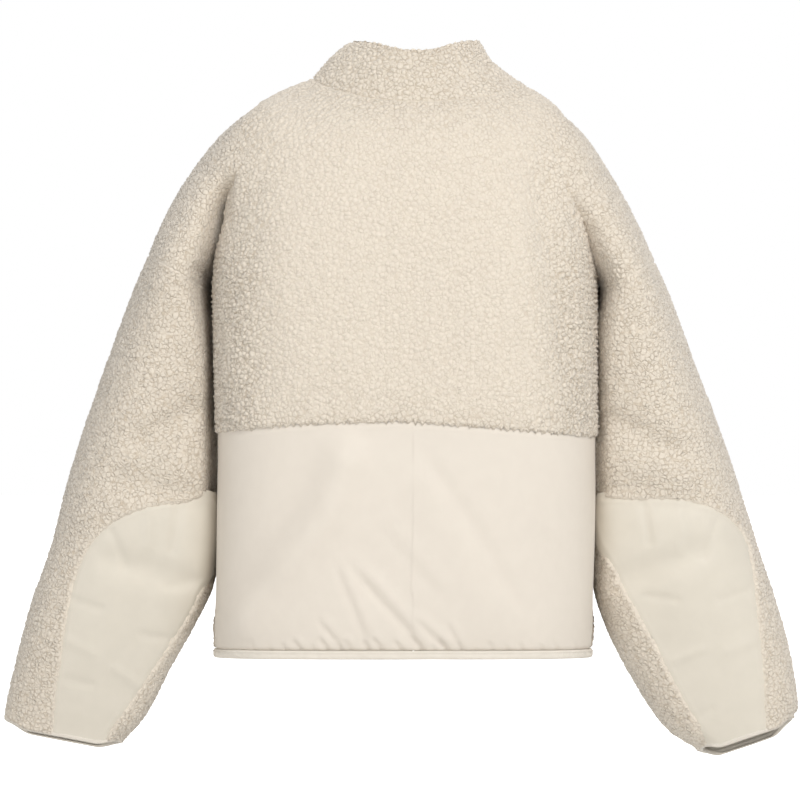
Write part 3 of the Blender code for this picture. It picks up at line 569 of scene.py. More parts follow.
def outlineDistance(x, z, outline):
    # distance to a closed outline, less than 0 inside it
    nearest = np.full(x.shape, 1e9)
    inside = np.zeros(x.shape, bool)
    for (x0, z0), (x1, z1) in zip(outline, np.roll(outline, -1, axis=0)):
        nearest = np.minimum(nearest, segmentDistance(x, z, x0, z0, x1, z1))
        inside ^= ((z0 > z) != (z1 > z)) & (x < (x1 - x0) * (z - z0) / (z1 - z0 + 1e-12) + x0)
    return np.where(inside, -nearest, nearest)


def quadCorners(rows, columns):
    # the corners of every quad in a grid that closes on itself
    number = np.arange(rows * columns).reshape(rows, columns)
    right = np.roll(number, -1, axis=1)
    return np.stack((number[:-1], right[:-1], right[1:], number[1:]), -1)


def formTree(points):
    # a coarse grid closed at both ends, to tell what lies inside it
    rows, columns = points.shape[:2]
    faces = quadCorners(rows, columns).reshape(-1, 4).tolist()
    foot = len(faces)
    faces += [(rows * columns, (c + 1) % columns, c) for c in range(columns)]
    faces += [(rows * columns + 1, foot + c, foot + (c + 1) % columns) for c in range(columns)]
    places = points.reshape(-1, 3).tolist() + [points[0].mean(axis=0).tolist(), points[-1].mean(axis=0).tolist()]
    return BVHTree.FromPolygons(places, faces)


def depthInside(points, tree):
    # how deep each point is under the form's surface, less than 0 outside it
    flat = points.reshape(-1, 3)
    found = np.empty(len(flat))
    for index, point in enumerate(flat.tolist()):
        place, normal, _, distance = tree.find_nearest(point)
        away = sum((a - b) * c for a, b, c in zip(point, place, normal))
        found[index] = distance if away < 0 else -distance
    return found.reshape(points.shape[:-1])


def outwardTree(points, probe):
    # the probe is a place inside the form; its faces have to look away from it
    tree = formTree(points)
    return tree if depthInside(probe, tree) > 0 else formTree(points[:, ::-1])


def armGrid(side, positions, angles, inset=0.0, shift=0.0):
    points = armPoints(side, positions[:, None], angles[None, :], inset, shift)
    return points, pointOut(gridNormals(points, True), points, points.mean(axis=1, keepdims=True))


def wholeTurn(count):
    return np.linspace(0, 2 * math.pi, count + 1)[:-1]


coarseTorso, _ = bodySurface(torsoRows, np.linspace(0, 10, 41)[:, None], wholeTurn(96)[None, :], True)
torsoTree = outwardTree(coarseTorso, coarseTorso[20, 20] * 0.9)
armTrees = {}
for side in armRows:
    coarseArm, normals = armGrid(side, np.linspace(0, 13, 53), wholeTurn(72))
    armTrees[side] = outwardTree(coarseArm, coarseArm[20, 10] - normals[20, 10] * 3)
print("forms ready")

shoulderBlend = {"radius": 36, "fromZ": -150, "toZ": -85, "facing": 0.6}
armCrease = {
    "left": {"depth": 1.5, "width": 8, "tuck": 58, "tuckWidth": 18, "top": -86, "foot": -540},
    "right": {"depth": 1.0, "width": 10, "tuck": 24, "tuckWidth": 16, "top": -110, "foot": -540},
}
# the tuck fades at its top and foot, towards the front, and is only part as strong below the elbow
tuckFade = {"top": 50, "foot": 90, "frontY": 30, "front": 40, "elbowZ": -290, "elbow": 110, "below": 0.5, "narrow": 0.4}


def blendUnion(points, normals, inside, side):
    # fills the valley between arm and body on top of the shoulder, and deepens it lower down
    facing = abs(normals[..., 1])
    onTop = ease((points[..., 2] - shoulderBlend["fromZ"]) / (shoulderBlend["toZ"] - shoulderBlend["fromZ"]))
    radius = np.maximum(shoulderBlend["radius"] * onTop, 0.01)
    bulge = np.clip(1 - abs(inside) / radius, 0, 1) ** 2 * radius / 4 * ease(facing / shoulderBlend["facing"])
    crease = armCrease[side]["depth"] * np.exp(-(inside / armCrease[side]["width"]) ** 2) * (1 - onTop)
    return points + normals * (bulge - crease * facing)[..., None]


def tuckArm(points, inside, side):
    # the back of the sleeve runs in behind the edge of the body
    crease, fade = armCrease[side], tuckFade
    z = points[..., 2]
    above = ease((z - fade["elbowZ"]) / fade["elbow"])
    height = ease((crease["top"] - z) / fade["top"]) * ease((z - crease["foot"]) / fade["foot"])
    height = height * (fade["below"] + (1 - fade["below"]) * above)
    width = crease["tuckWidth"] * (fade["narrow"] + (1 - fade["narrow"]) * above)
    tuck = crease["tuck"] * height * np.exp(-(np.maximum(-inside, 0) / width) ** 2)
    tucked = points.copy()
    tucked[..., 1] += tuck * ease((fade["frontY"] - points[..., 1]) / fade["front"])
    return tucked


def meshPiece(name, mesh, vectors, material):
    for label, values in vectors.items():
        layer = mesh.attributes.new(label, "FLOAT_VECTOR", "POINT")
        layer.data.foreach_set("vector", np.asarray(values, np.float32).ravel())
    mesh.materials.append(material)
    mesh.shade_smooth()
    item = bpy.data.objects.new(name, mesh)
    bpy.context.scene.collection.objects.link(item)
    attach(item, "root")
    return item


def clothGrid(points, normals, sunk, side=None, **more):
    # a grid of cloth sunk below its form; on an arm it is a closed ring
    grid = {"points": points - normals * np.asarray(sunk)[..., None], "normals": normals, **more}
    if side:
        grid.update(closed=True, flip=side == "right")
    return grid


def gridMesh(name, grids, material):
    # one mesh from several grids, each with points, normals and, where it needs them, keep, pile, weave or spacing
    parts = {"rest": [], "outward": [], "weave": []}
    piles, quads = [], []
    base = 0
    for grid in grids:
        points = grid["points"]
        rows, columns = points.shape[:2]
        corners = quadCorners(rows, columns)
        corners = corners.reshape(-1, 4) if grid.get("closed") else corners[:, :-1].reshape(-1, 4)
        if "keep" in grid:
            corners = corners[grid["keep"].reshape(-1)[corners].all(axis=1)]
        if grid.get("flip"):
            corners = corners[:, ::-1]
        used = np.zeros(rows * columns, bool)
        used[corners] = True
        quads.append((np.cumsum(used) - 1 + base)[corners])
        weave = grid.get("weave")
        if weave is None:
            steps = np.meshgrid(np.arange(columns), np.arange(rows))
            weave = np.stack(steps + [np.zeros((rows, columns))], -1) * grid.get("spacing", 1.5)
        for label, values in (("rest", points * mm), ("outward", grid["normals"]), ("weave", weave * mm)):
            parts[label].append(values.reshape(-1, 3)[used])
        piles.append(np.broadcast_to(grid.get("pile", 0.0), (rows, columns)).reshape(-1)[used])
        base += int(used.sum())
    parts = {label: np.concatenate(values) for label, values in parts.items()}
    quads = np.concatenate(quads)
    mesh = bpy.data.meshes.new(name)
    mesh.vertices.add(base)
    mesh.vertices.foreach_set("co", parts["rest"].astype(np.float32).ravel())
    mesh.loops.add(quads.size)
    mesh.loops.foreach_set("vertex_index", quads.astype(np.int32).ravel())
    mesh.polygons.add(len(quads))
    mesh.polygons.foreach_set("loop_start", np.arange(0, quads.size, 4, dtype=np.int32))
    mesh.update(calc_edges=True)
    mesh.validate()
    layer = mesh.attributes.new("pile", "FLOAT", "POINT")
    layer.data.foreach_set("value", np.concatenate(piles).astype(np.float32))
    return meshPiece(name, mesh, parts, material)


def makeReliefTree():
    tree = bpy.data.node_groups.new("pile relief", "GeometryNodeTree")
    for way in ("INPUT", "OUTPUT"):
        tree.interface.new_socket(name="Geometry", in_out=way, socket_type="NodeSocketGeometry")
    start, end = tree.nodes.new("NodeGroupInput"), tree.nodes.new("NodeGroupOutput")
    found = {}
    for label, kind in (("rest", "FLOAT_VECTOR"), ("outward", "FLOAT_VECTOR"), ("pile", "FLOAT")):
        node = newNode(tree, "GeometryNodeInputNamedAttribute", {"Name": label})
        node.data_type = kind
        found[label] = node.outputs["Attribute"]
    edge, dome, _ = curlNodes(tree, found["rest"])
    parts = {"ridge": rampNode(tree, edge, 0.0, pileLook["ridgeWidth"]), "dome": dome,
             "lumps": noiseNode(tree, found["rest"], pileLook["lumpScale"], 2)["Fac"]}
    height = addUp(tree, [(value, pileLook[name]) for name, value in parts.items()], pileLook["level"])
    height = mathNode(tree, "MULTIPLY", height, found["pile"])
    height = mathNode(tree, "MULTIPLY_ADD", height, pileLook["relief"], pileLook["tipRise"])
    offset = mathNode(tree, "SCALE", found["outward"], kind="ShaderNodeVectorMath")
    feed(tree, offset.node, {"Scale": height})
    raised = newNode(tree, "GeometryNodeSetPosition", {"Geometry": start.outputs[0], "Offset": offset})
    feed(tree, end, {0: raised.outputs[0]})
    return tree


reliefTree = makeReliefTree()


def pileMesh(name, grids):
    # runs the relief once and keeps its result, so no modifier stays on the piece
    item = gridMesh(name, grids, materials["pile"])
    item.modifiers.new("pile relief", "NODES").node_group = reliefTree
    raised = bpy.data.meshes.new_from_object(item.evaluated_get(bpy.context.evaluated_depsgraph_get()))
    flat = item.data
    item.modifiers.clear()
    item.data = raised
    raised.name = flat.name
    bpy.data.meshes.remove(flat)
    raised.shade_smooth()
    return item


pileEdge = {"seamRadius": 2.2, "neckRadius": 1.5, "armSeamRadius": 1.4, "footRadius": 2.3, "openRadius": 2.8,
            "collarEndRadius": 2.4, "hemShare": 0.8, "leastPile": 0.25}
neckTurn = 7  # mm from the neck seam over which the pile turns to the other cloth's direction
zipEase = 20  # mm from the zip over which the cloth straightens
crossDepth = 9.0
tuckedDepth = 30.0  # how far a grid runs on under its neighbour
armOverlap = 3


def neckNormals(angles):
    # what both cloths' pile stands along at the neck seam
    total = 0
    for table, rows in ((torsoRows, (9.9, 10.0)), (collarRows, (0.0, 0.1))):
        points = bodyPoints(table, np.array(rows)[:, None], angles[None, :])
        total = total + pointOut(gridNormals(points)[0], points[0], points[0].mean(axis=0))
    return total / np.linalg.norm(total, axis=1, keepdims=True)


def turnedAtNeck(normals, distance, angles):
    share = ease(1 - distance / neckTurn)[..., None]
    turned = normals * (1 - share) + neckNormals(angles)[None] * share
    return turned / np.linalg.norm(turned, axis=-1, keepdims=True)


def angleWhere(table, positions, angle, axis, wanted):
    # the angle at which each row crosses x or y = wanted
    angle = np.full(positions.shape, angle)
    for _ in range(8):
        here = bodyPoints(table, positions, angle)[..., axis]
        slope = (bodyPoints(table, positions, angle + 0.002)[..., axis] - here) / 0.002
        angle = angle + np.clip((wanted - here) / slope, -0.1, 0.1)
    return angle


def endAngles(table, positions, angles, ends):
    # spreads every row of a grid evenly between its two seams, each given as (axis, coordinate)
    share = (angles - angles[0]) / (angles[-1] - angles[0])
    first, last = (angleWhere(table, positions[:, column], angles[column], *end)
                   for column, end in zip((0, -1), ends))
    return first[:, None] + (last - first)[:, None] * share


def zipEdgeAngles(row):
    half, middle = (row[1] - row[0]) / 2, (row[0] + row[1]) / 2
    return [math.pi / 2 + sign * math.asin((zipHalfWidth + sign * middle) / half) for sign in (-1, 1)]


def seamAngle(row):
    return math.asin(sideSeamY / torsoRows[row][frontColumn])


sideSeam = (1, sideSeamY)
zipEdge = {side: (0, sign * zipHalfWidth) for side, sign in direction.items()}
zipAngles = zipEdgeAngles(torsoRows[5])
# first and last angle of the pieces of the trunk, and the seams at them
spans = {
    "back": (-math.pi - seamAngle(3), seamAngle(3), (sideSeam, sideSeam)),
    "left": (zipAngles[1], math.pi - seamAngle(3), (zipEdge["left"], sideSeam)),
    "right": (seamAngle(3), zipAngles[0], (sideSeam, zipEdge["right"])),
}
panelRows = np.linspace(0, 4, 80)
panelHeights = rowsAt(torsoRows, panelRows)[:, heightColumn]


def yokeHeight(x):
    return np.interp(x, yokeLine[:, 0], yokeLine[:, 1])


def yokeFoot(angles, edge=lambda x: 0):
    # the row at which each column reaches the yoke's foot
    x = bodyPoints(torsoRows, 3, angles)[:, 0]
    return np.interp(yokeHeight(x) + edge(x), panelHeights, panelRows)


def torsoPiece(span, spacing, lowPosition=lambda angles: 0 * angles):
    # grid of the torso from lowPosition (one value for each column) up to the neck seam
    first, last, ends = span
    angles = evenAngles(torsoRows, 5, first, last, spacing)
    values = np.linspace(0, 10, 600)
    run = runAlong(bodyPoints(torsoRows, values, (first + last) / 2))
    start = np.interp(lowPosition(angles), values, run)
    share = np.linspace(0, 1, int((run[-1] - start.min()) / spacing) + 1)[:, None]
    positions = np.interp(start[None, :] + (run[-1] - start[None, :]) * share, run, values)
    angles = endAngles(torsoRows, positions, angles, ends)
    points, normals = bodySurface(torsoRows, positions, angles)
    return points, turnedAtNeck(normals, distanceFrom(points, points[-1:]), angles[-1])


armTop = {
    "middleRadius": 85, "firstRow": 0.05,
    # on the front the arm's open end dips under the shoulder
    "sink": 8.0, "length": 24.0, "fromY": 6.0, "overY": 16,
}


def armTopGrid(side, spacing):
    angles = wholeTurn(2 * int(math.pi * armTop["middleRadius"] / spacing))
    values = np.linspace(armTop["firstRow"], armSeamRow, 200)
    positions = evenPositions(armPoints(side, values, math.pi), values, spacing)
    points, normals = armGrid(side, positions, angles)
    sunk = armTop["sink"] * ease(1 - distanceFrom(points, points[:1]) / armTop["length"])
    sunk = sunk * ease((points[..., 1] - armTop["fromY"]) / armTop["overY"])
    return points - normals * sunk[..., None], normals, distanceFrom(points, points[-1:])


def pileOf(dive, strength=1.0):
    return np.clip(1 - dive / pileEdge["seamRadius"], pileEdge["leastPile"], 1) * strength


pileSpacing = {"yoke": 1.78, "front": 1.9, "sleeve": 1.9, "collar": 1.65}
armTops = {side: armTopGrid(side, pileSpacing["yoke"]) for side in armRows}
armTopInTorso = {side: depthInside(armTops[side][0], torsoTree) for side in armRows}


def armTopPart(side, facing):
    # the arm's top on the back (facing -1) or on the front (1) of the shoulder seam
    points, normals, fromSeam = armTops[side]
    inside, fromShoulder = armTopInTorso[side], facing * (points[..., 1] - sideSeamY)
    dive = np.maximum(diveAt(fromSeam, pileEdge["armSeamRadius"]), diveAt(fromShoulder, pileEdge["seamRadius"]))
    keep = (fromShoulder > -armOverlap) & (inside < crossDepth)
    points = tuckArm(blendUnion(points, normals, inside, side), inside, side)
    return clothGrid(points, normals, dive, side, keep=keep, pile=pileOf(dive))


yoke = {
    "overhang": 2.8, "edgeUneven": 1.5, "edgeLumps": 2.4,
    "flatPile": 0.7, "footPile": 16, "neckPile": 30,  # the pile is flatter in the middle of the back
    "armPileFrom": 105, "armPileOver": 60,
    # the body's edge beside the sleeve
    "sidePile": 0.1, "sideLumps": 2.4, "sideTop": -150, "sideFade": 40, "sideTurn": 0.35, "sideTurned": 0.7,
}


def makeYoke():
    def edge(x):
        return yoke["edgeUneven"] * wobble(x, 1.0) + yoke["edgeLumps"] * wobble(2.4 * x, 2.0) - yoke["overhang"]

    points, normals = torsoPiece(spans["back"], pileSpacing["yoke"], lambda angles: yokeFoot(angles, edge))
    x, y, z = np.moveaxis(points, -1, 0)
    fromFoot, fromNeck = distanceFrom(points, points[:1]), distanceFrom(points, points[-1:])
    dive = np.maximum(diveAt(fromNeck, pileEdge["neckRadius"]), diveAt(sideSeamY - y, pileEdge["seamRadius"]))
    fuller = np.maximum(np.exp(-fromFoot / yoke["footPile"]), np.exp(-fromNeck / yoke["neckPile"]))
    fuller = np.maximum(fuller, ease((abs(x + 7) - yoke["armPileFrom"]) / yoke["armPileOver"]))
    turned = ease((abs(normals[..., 0]) - yoke["sideTurn"]) / (yoke["sideTurned"] - yoke["sideTurn"]))
    turned = turned * ease((yoke["sideTop"] - z) / yoke["sideFade"])
    strength = yoke["flatPile"] + (1 - yoke["flatPile"]) * fuller + yoke["sidePile"] * turned
    pile = pileOf(dive, strength)
    lumps = yoke["sideLumps"] * turned * wobble(3.4 * z, 4.0) * (0.6 + 0.4 * wobble(3.1 * y, 1.0))
    points = points + normals * lumps[..., None]
    dive = np.maximum(dive, diveAt(fromFoot, pileEdge["footRadius"]))
    keep = np.ones(points.shape[:2], bool)
    for side in armRows:
        inside = depthInside(points, armTrees[side])
        keep &= inside < tuckedDepth
        points = blendUnion(points, normals, inside, side)
    grids = [clothGrid(points, normals, dive, keep=keep, pile=pile)]
    return pileMesh("backYoke", grids + [armTopPart(side, -1) for side in armRows])


def straightenZipEdge(points, column, sign):
    # moves the cloth beside the zip so that its edge is straight
    drift = sign * zipHalfWidth - points[:, column, 0]
    weight = ease(1 - abs(points[..., 0] - sign * zipHalfWidth) / zipEase) * (points[..., 1] > 0)
    points[..., 0] += drift[:, None] * weight


armpitZ = -125


def makeFront(side):
    points, normals = torsoPiece(spans[side], pileSpacing["front"])
    straightenZipEdge(points, -1 if side == "right" else 0, direction[side])
    x, y, z = np.moveaxis(points, -1, 0)
    openEdge = np.minimum(abs(x) - zipHalfWidth, distanceFrom(points, points[:1]))
    dive = np.maximum(diveAt(distanceFrom(points, points[-1:]), pileEdge["neckRadius"]),
                      diveAt(y - sideSeamY, pileEdge["seamRadius"]))
    dive = np.maximum(dive, diveAt(openEdge, pileEdge["seamRadius"]) * pileEdge["hemShare"])
    inside = depthInside(points, armTrees[side])
    keep = inside < np.where(z > armpitZ, tuckedDepth, crossDepth)
    points = blendUnion(points, normals, inside, side)
    grids = [clothGrid(points, normals, dive, keep=keep, pile=pileOf(dive)), armTopPart(side, 1)]
    return pileMesh("front" + side.capitalize(), grids)


patchCurves = {side: smoothOutline(outline) for side, outline in patchOutlines.items()}
cuffRoll = ((1.4, 0.3), (2.7, 1.2), (3.4, 2.6))  # past the last section: how far down and how far in
cuffRow = 13.0
sleeveRadius = 80


def sleeveGrid(side, spacing):
    angles = wholeTurn(2 * int(math.pi * sleeveRadius / spacing))
    values = np.linspace(armSeamRow, cuffRow, 300)
    points, normals = armGrid(side, evenPositions(armPoints(side, values, math.pi), values, spacing), angles)
    rolled = [armPoints(side, cuffRow, angles, back, down) for down, back in cuffRoll]
    return np.concatenate((points, rolled)), np.concatenate((normals, np.repeat(normals[-1:], len(cuffRoll), axis=0)))


def patchDistance(side, points):
    x, y, z = np.moveaxis(points, -1, 0)
    return np.maximum(outlineDistance(x, z, patchCurves[side]), y - patchDepthY)


sleeveCut = {"overhang": 1.5, "uneven": 1.0, "under": 3.4, "over": 2.5, "keep": -3.6}  # its edge ends under the patch


def makeSleeve(side):
    points, normals = sleeveGrid(side, pileSpacing["sleeve"])
    points = tuckArm(points, depthInside(points, torsoTree), side)
    x, y, z = np.moveaxis(points, -1, 0)
    toPatch = patchDistance(side, points) + sleeveCut["uneven"] * wobble(x + z, 2.0) + sleeveCut["overhang"]
    dive = np.maximum(diveAt(distanceFrom(points, points[:1]), pileEdge["armSeamRadius"]),
                      diveAt(toPatch, pileEdge["openRadius"]))
    fromCuff = distanceFrom(points, points[-1:])
    dive = np.maximum(dive, diveAt(fromCuff, pileEdge["seamRadius"]) * pileEdge["hemShare"])
    dive = dive + sleeveCut["under"] * np.clip(-toPatch / sleeveCut["over"], 0, 1)
    grid = clothGrid(points, normals, dive, side, keep=toPatch > sleeveCut["keep"], pile=pileOf(dive))
    return pileMesh("sleeve" + side.capitalize(), [grid])


# x0 z0 x1 z1 halfWidth height; plus is a ridge, minus a trough
patchCreases = {
    "left": ((-232, -424, -238, -470, 5, -1.6), (-262, -428, -262, -466, 6, 1.2), (-300, -452, -286, -486, 5, -1.5),
             (-338, -520, -312, -528, 5, -1.4), (-344, -560, -318, -574, 6, 1.2), (-346, -600, -322, -606, 5, -1.2),
             (-240, -560, -268, -556, 5, -1.4), (-272, -606, -296, -590, 5, 1.2), (-212, -500, -244, -506, 6, -1.4),
             (-258, -470, -300, -600, 22, -2.2)),
    "right": ((230, -424, 236, -462, 5, -1.5), (268, -424, 266, -470, 6, 1.2), (306, -440, 290, -476, 5, -1.5),
              (336, -510, 308, -520, 5, -1.3), (343, -560, 316, -572, 6, 1.2), (232, -516, 262, -520, 5, -1.4),
              (262, -580, 288, -570, 5, 1.2), (280, -640, 300, -630, 5, -1.2), (212, -440, 246, -560, 20, -2.0)),
}
patch = {"spacing": 2.1, "keep": -4.5, "rim": 0.5, "rimAt": 5, "rimWidth": 3, "edgeRadius": 4, "edgeDive": 0.4}


def makePatch(side):
    points, normals = sleeveGrid(side, patch["spacing"])
    x, y, z = np.moveaxis(points, -1, 0)
    toEdge = -patchDistance(side, points)
    relief = foldSink(x, z, patchCreases[side])
    relief = relief + patch["rim"] * ease(1 - abs(toEdge - patch["rimAt"]) / patch["rimWidth"])
    sunk = nylonDrop - relief + diveAt(toEdge + patch["edgeRadius"], patch["edgeRadius"]) * patch["edgeDive"]
    grid = clothGrid(points, normals, sunk, side, keep=toEdge > patch["keep"], weave=np.stack((x, z, y * 0), -1))
    return gridMesh("elbowPatch" + side.capitalize(), [grid], materials["patchNylon"])


lowerPanel = {
    "spacing": 2.15, "underYoke": 5,  # runs on under the pile
    "seam": ((0.35, 7.5, 2.4), (-0.8, 1.5, 2.5)),  # height, middle and width of the ridge and groove below the yoke
    "hemRadius": 2.5, "hemDive": 0.6, "hemFade": 14, "yokeFade": 16,
    "puckerZ": -571, "pucker": 1.3,
    # x0 z0 x1 z1 leftWidth rightWidth height, from the low end up
    "swells": ((-186, -552, -137, -495, 19, 18, 7.0), (-137, -495, -86, -435, 21, 20, 10.0),
               (-86, -435, -62, -366, 23, 22, 10.0), (92, -540, 40, -450, 24, 20, 3.8),
               (40, -450, 2, -384, 22, 18, 3.2)),
    # x0 z0 x1 z1 halfWidth depth, from the low end up; the ridge is on the right
    "creases": ((104, -522, 57, -442, 9, 1.5), (57, -442, 14, -378, 8, 1.3), (170, -502, 130, -448, 7, 1.5),
                (-45, -560, -75, -487, 4.5, 1.6), (8, -562, -57, -490, 5.5, 2.4), (28, -515, -30, -450, 7, 1.0),
                (33, -567, 3, -538, 4.2, 1.8), (48, -567, 35, -542, 3, 1.1), (-70, -567, -92, -540, 3.6, 1.4)),
    # x of the hem end, height, lean, halfWidth, depth of each pucker
    "puckers": ((-172, 6, -4, 2.0, 0.7), (-155, 9, -6, 2.2, 0.9), (-138, 7, -5, 2.0, 0.8), (-122, 9, -8, 2.2, 1.0),
                (-107, 12, -11, 2.6, 1.3), (-94, 8, -6, 2.0, 0.9), (-80, 14, -12, 2.8, 1.4), (-66, 9, -8, 2.2, 1.0),
                (-57, 13, -12, 2.8, 1.5), (-40, 12, -9, 2.8, 1.4), (-27, 15, -13, 3.0, 1.6), (-7, 12, -11, 2.8, 1.4),
                (13, 16, -14, 3.0, 1.7), (25, 8, -6, 2.0, 0.9), (38, 13, -11, 2.8, 1.4), (53, 10, -8, 2.4, 1.2),
                (66, 7, -5, 2.0, 0.8), (83, 11, -8, 2.4, 1.2), (98, 8, -6, 2.0, 1.0), (113, 10, -7, 2.4, 1.1),
                (133, 9, -6, 2.2, 1.0), (148, 12, -7, 2.4, 1.2), (168, 9, -5, 2.2, 1.0)),
}


def makeLowerPanel():
    spacing = lowerPanel["spacing"]
    angles = evenAngles(torsoRows, 2, -math.pi - seamAngle(2), seamAngle(2), spacing)
    top = yokeHeight(bodyPoints(torsoRows, 3, angles)[:, 0]) + lowerPanel["underYoke"]
    foot = panelHeights[0]
    z = foot + (top[None, :] - foot) * np.linspace(0, 1, int((top.max() - foot) / spacing) + 1)[:, None]
    positions = np.interp(z, panelHeights, panelRows)
    points, normals = bodySurface(torsoRows, positions, endAngles(torsoRows, positions, angles, (sideSeam, sideSeam)))
    x, y, z = np.moveaxis(points, -1, 0)
    hemZ = lowerPanel["puckerZ"]
    puckers = [(end, hemZ, end + lean, hemZ + tall, halfWidth, lowerPanel["pucker"] * depth)
               for end, tall, lean, halfWidth, depth in lowerPanel["puckers"]]
    relief = creaseRelief(x, z, lowerPanel["creases"] + tuple(puckers)) + swellRelief(x, z, lowerPanel["swells"])
    belowYoke, toHem = yokeHeight(x) - z, z - foot
    for height, middle, width in lowerPanel["seam"]:
        relief = relief + height * np.exp(-((belowYoke - middle) / width) ** 2)
    relief = relief * np.minimum(abs(normals[..., 1]) / facingFull, 1)
    raised = relief * ease(toHem / lowerPanel["hemFade"]) * ease(belowYoke / lowerPanel["yokeFade"] + 0.3)
    relief = np.where(relief > 0, raised, relief)
    sunk = nylonDrop - relief + diveAt(toHem, lowerPanel["hemRadius"]) * lowerPanel["hemDive"]
    grid = clothGrid(points, normals, sunk, weave=np.stack((x + np.sign(x) * y, z, y * 0), -1))
    return gridMesh("backLowerPanel", [grid], materials["nylon"])


bindings = {"hem": {"height": 8.6, "wall": 3.2, "bulge": 0.8, "inset": 1.4},
            "cuff": {"height": 6.2, "wall": 2.6, "bulge": 0.4, "inset": 3.0}}
ribs = {"pitch": 1.9, "swell": 0.10, "uneven": 0.04}
bindingPower = 3


def bindingGrid(look, path, outward, down):
    # a closed loop of cloth round an edge, ribbed across; path runs along the edge
    turns = wholeTurn(14)
    cos, sin = roundedTurn(turns, bindingPower)
    run = np.cumsum(distanceFrom(np.roll(path, -1, axis=0), path))
    rib = 1 + ribs["swell"] * np.sin(run * 2 * math.pi / ribs["pitch"]) + ribs["uneven"] * wobble(run * 0.6, 1.3)
    out = (cos * (look["wall"] / 2 + look["bulge"]))[:, None] * rib[None, :]
    fall = look["height"] / 2 * (1 - sin)
    middle = path - outward * (look["inset"] + look["wall"] / 2)
    points = middle[None] + outward[None] * out[..., None] + down[None] * fall[:, None, None]
    normals = outward[None] * np.cos(turns)[:, None, None] - down[None] * np.sin(turns)[:, None, None]
    return (np.concatenate((part, part[:1])) for part in (points, normals))


edges = {}  # path, outward and down along each bound edge


def makeHemBinding():
    rightEdge, leftEdge = zipEdgeAngles(torsoRows[0])
    angles = evenAngles(torsoRows, 0, leftEdge - 2 * math.pi, rightEdge, 1.1)
    path, normals = bodySurface(torsoRows, np.array([[0.0], [0.2]]), angles[None, :])
    outward = normals[0] * (1, 1, 0)
    outward /= np.linalg.norm(outward, axis=1, keepdims=True)
    edges["hem"] = (path[0], outward, np.broadcast_to((0.0, 0.0, -1.0), outward.shape))
    grid = clothGrid(*bindingGrid(bindings["hem"], *edges["hem"]), 0)
    return gridMesh("hemBinding", [grid], materials["binding"])


def makeCuffBinding(side):
    angles = wholeTurn(419)
    path = armPoints(side, cuffRow, angles)
    down = armPoints(side, cuffRow, angles, 0, 1.0) - path
    outward = np.cross(np.roll(path, -1, axis=0) - np.roll(path, 1, axis=0), down)
    outward /= np.linalg.norm(outward, axis=1, keepdims=True)
    outward = pointOut(outward, path, path.mean(axis=0))
    edges[side] = (path, outward, down)
    points, normals = bindingGrid(bindings["cuff"], path - down * 2.2, outward, down)
    grid = clothGrid(points, normals, 0, closed=True)
    return gridMesh("cuffBinding" + side.capitalize(), [grid], materials["binding"])


def makeCollar():
    rightEdge, leftEdge = zipEdgeAngles(collarRows[1])
    angles = evenAngles(collarRows, 1, leftEdge - 2 * math.pi, rightEdge, pileSpacing["collar"])
    up = np.linspace(0, 3, 62)
    positions = np.broadcast_to(up[:, None], (len(up), len(angles)))
    angles = endAngles(collarRows, positions, angles, (zipEdge["left"], zipEdge["right"]))
    outer, normals = bodySurface(collarRows, positions, angles)
    for column, side in ((0, "left"), (-1, "right")):
        straightenZipEdge(outer, column, direction[side])
    outer[..., 2] -= (ease(up - 2) * pileWall / 2)[:, None]  # leaves room for the round rim
    rim = [outer[-1] + pileWall / 2 * (np.array((0, 0, math.sin(turn))) - normals[-1] * (1 - math.cos(turn)))
           for turn in np.linspace(0, math.pi, 9)]
    points = np.concatenate((outer[:-1], rim, (outer - normals * pileWall)[-2::-1]))
    faces = gridNormals(points)
    faces = faces * np.sign((faces[:50] * normals[:50]).sum(-1).mean())
    fromSeam = distanceFrom(points, points[:1])
    faces = turnedAtNeck(faces, fromSeam, angles[0])
    toEnd = np.minimum(distanceFrom(points, points[:, :1]), distanceFrom(points, points[:, -1:]))
    dive = np.maximum(diveAt(fromSeam, pileEdge["neckRadius"]), diveAt(toEnd, pileEdge["collarEndRadius"]))
    return pileMesh("standCollar", [clothGrid(points, faces, dive, pile=pileOf(dive))])


backing = {"spacing": 6.0, "rows": 40, "underPanel": 3.5, "underPatch": 2.8, "patchFade": 8, "cuffFade": 15}


def backingMesh(name, grids):
    return gridMesh(name, [{**grid, "spacing": backing["spacing"]} for grid in grids], materials["backing"])


def makeBacking(name, span, facing, armSides, *lowPosition):
    # knitted back of the pile cloth, seen through the neck, hem and cuffs
    points, normals = torsoPiece(span, backing["spacing"], *lowPosition)
    points = points - normals * pileWall
    keep = np.logical_and.reduce([depthInside(points, armTrees[side]) < 0 for side in armRows])
    grids = [clothGrid(points, normals, 0, keep=keep)]
    for side in armSides:
        points, normals, _ = armTopGrid(side, backing["spacing"])
        points = points - normals * pileWall
        inside = depthInside(points, torsoTree)
        keep = (facing * (points[..., 1] - sideSeamY) > -armOverlap) & (inside < pileWall)
        grids.append(clothGrid(tuckArm(points, inside, side), normals, 0, side, keep=keep))
    return backingMesh(name, grids)


def makePanelBacking():
    # inside of the nylon panel
    angles = evenAngles(torsoRows, 2, *spans["back"][:2], backing["spacing"])
    top, foot = yokeHeight(bodyPoints(torsoRows, 3, angles)[:, 0]), panelHeights[0]
    z = foot + (top[None, :] - foot) * np.linspace(0, 1, backing["rows"])[:, None]
    points, normals = bodySurface(torsoRows, np.interp(z, panelHeights, panelRows), angles[None, :])
    return backingMesh("panelBacking", [clothGrid(points, normals, pileWall + backing["underPanel"])])


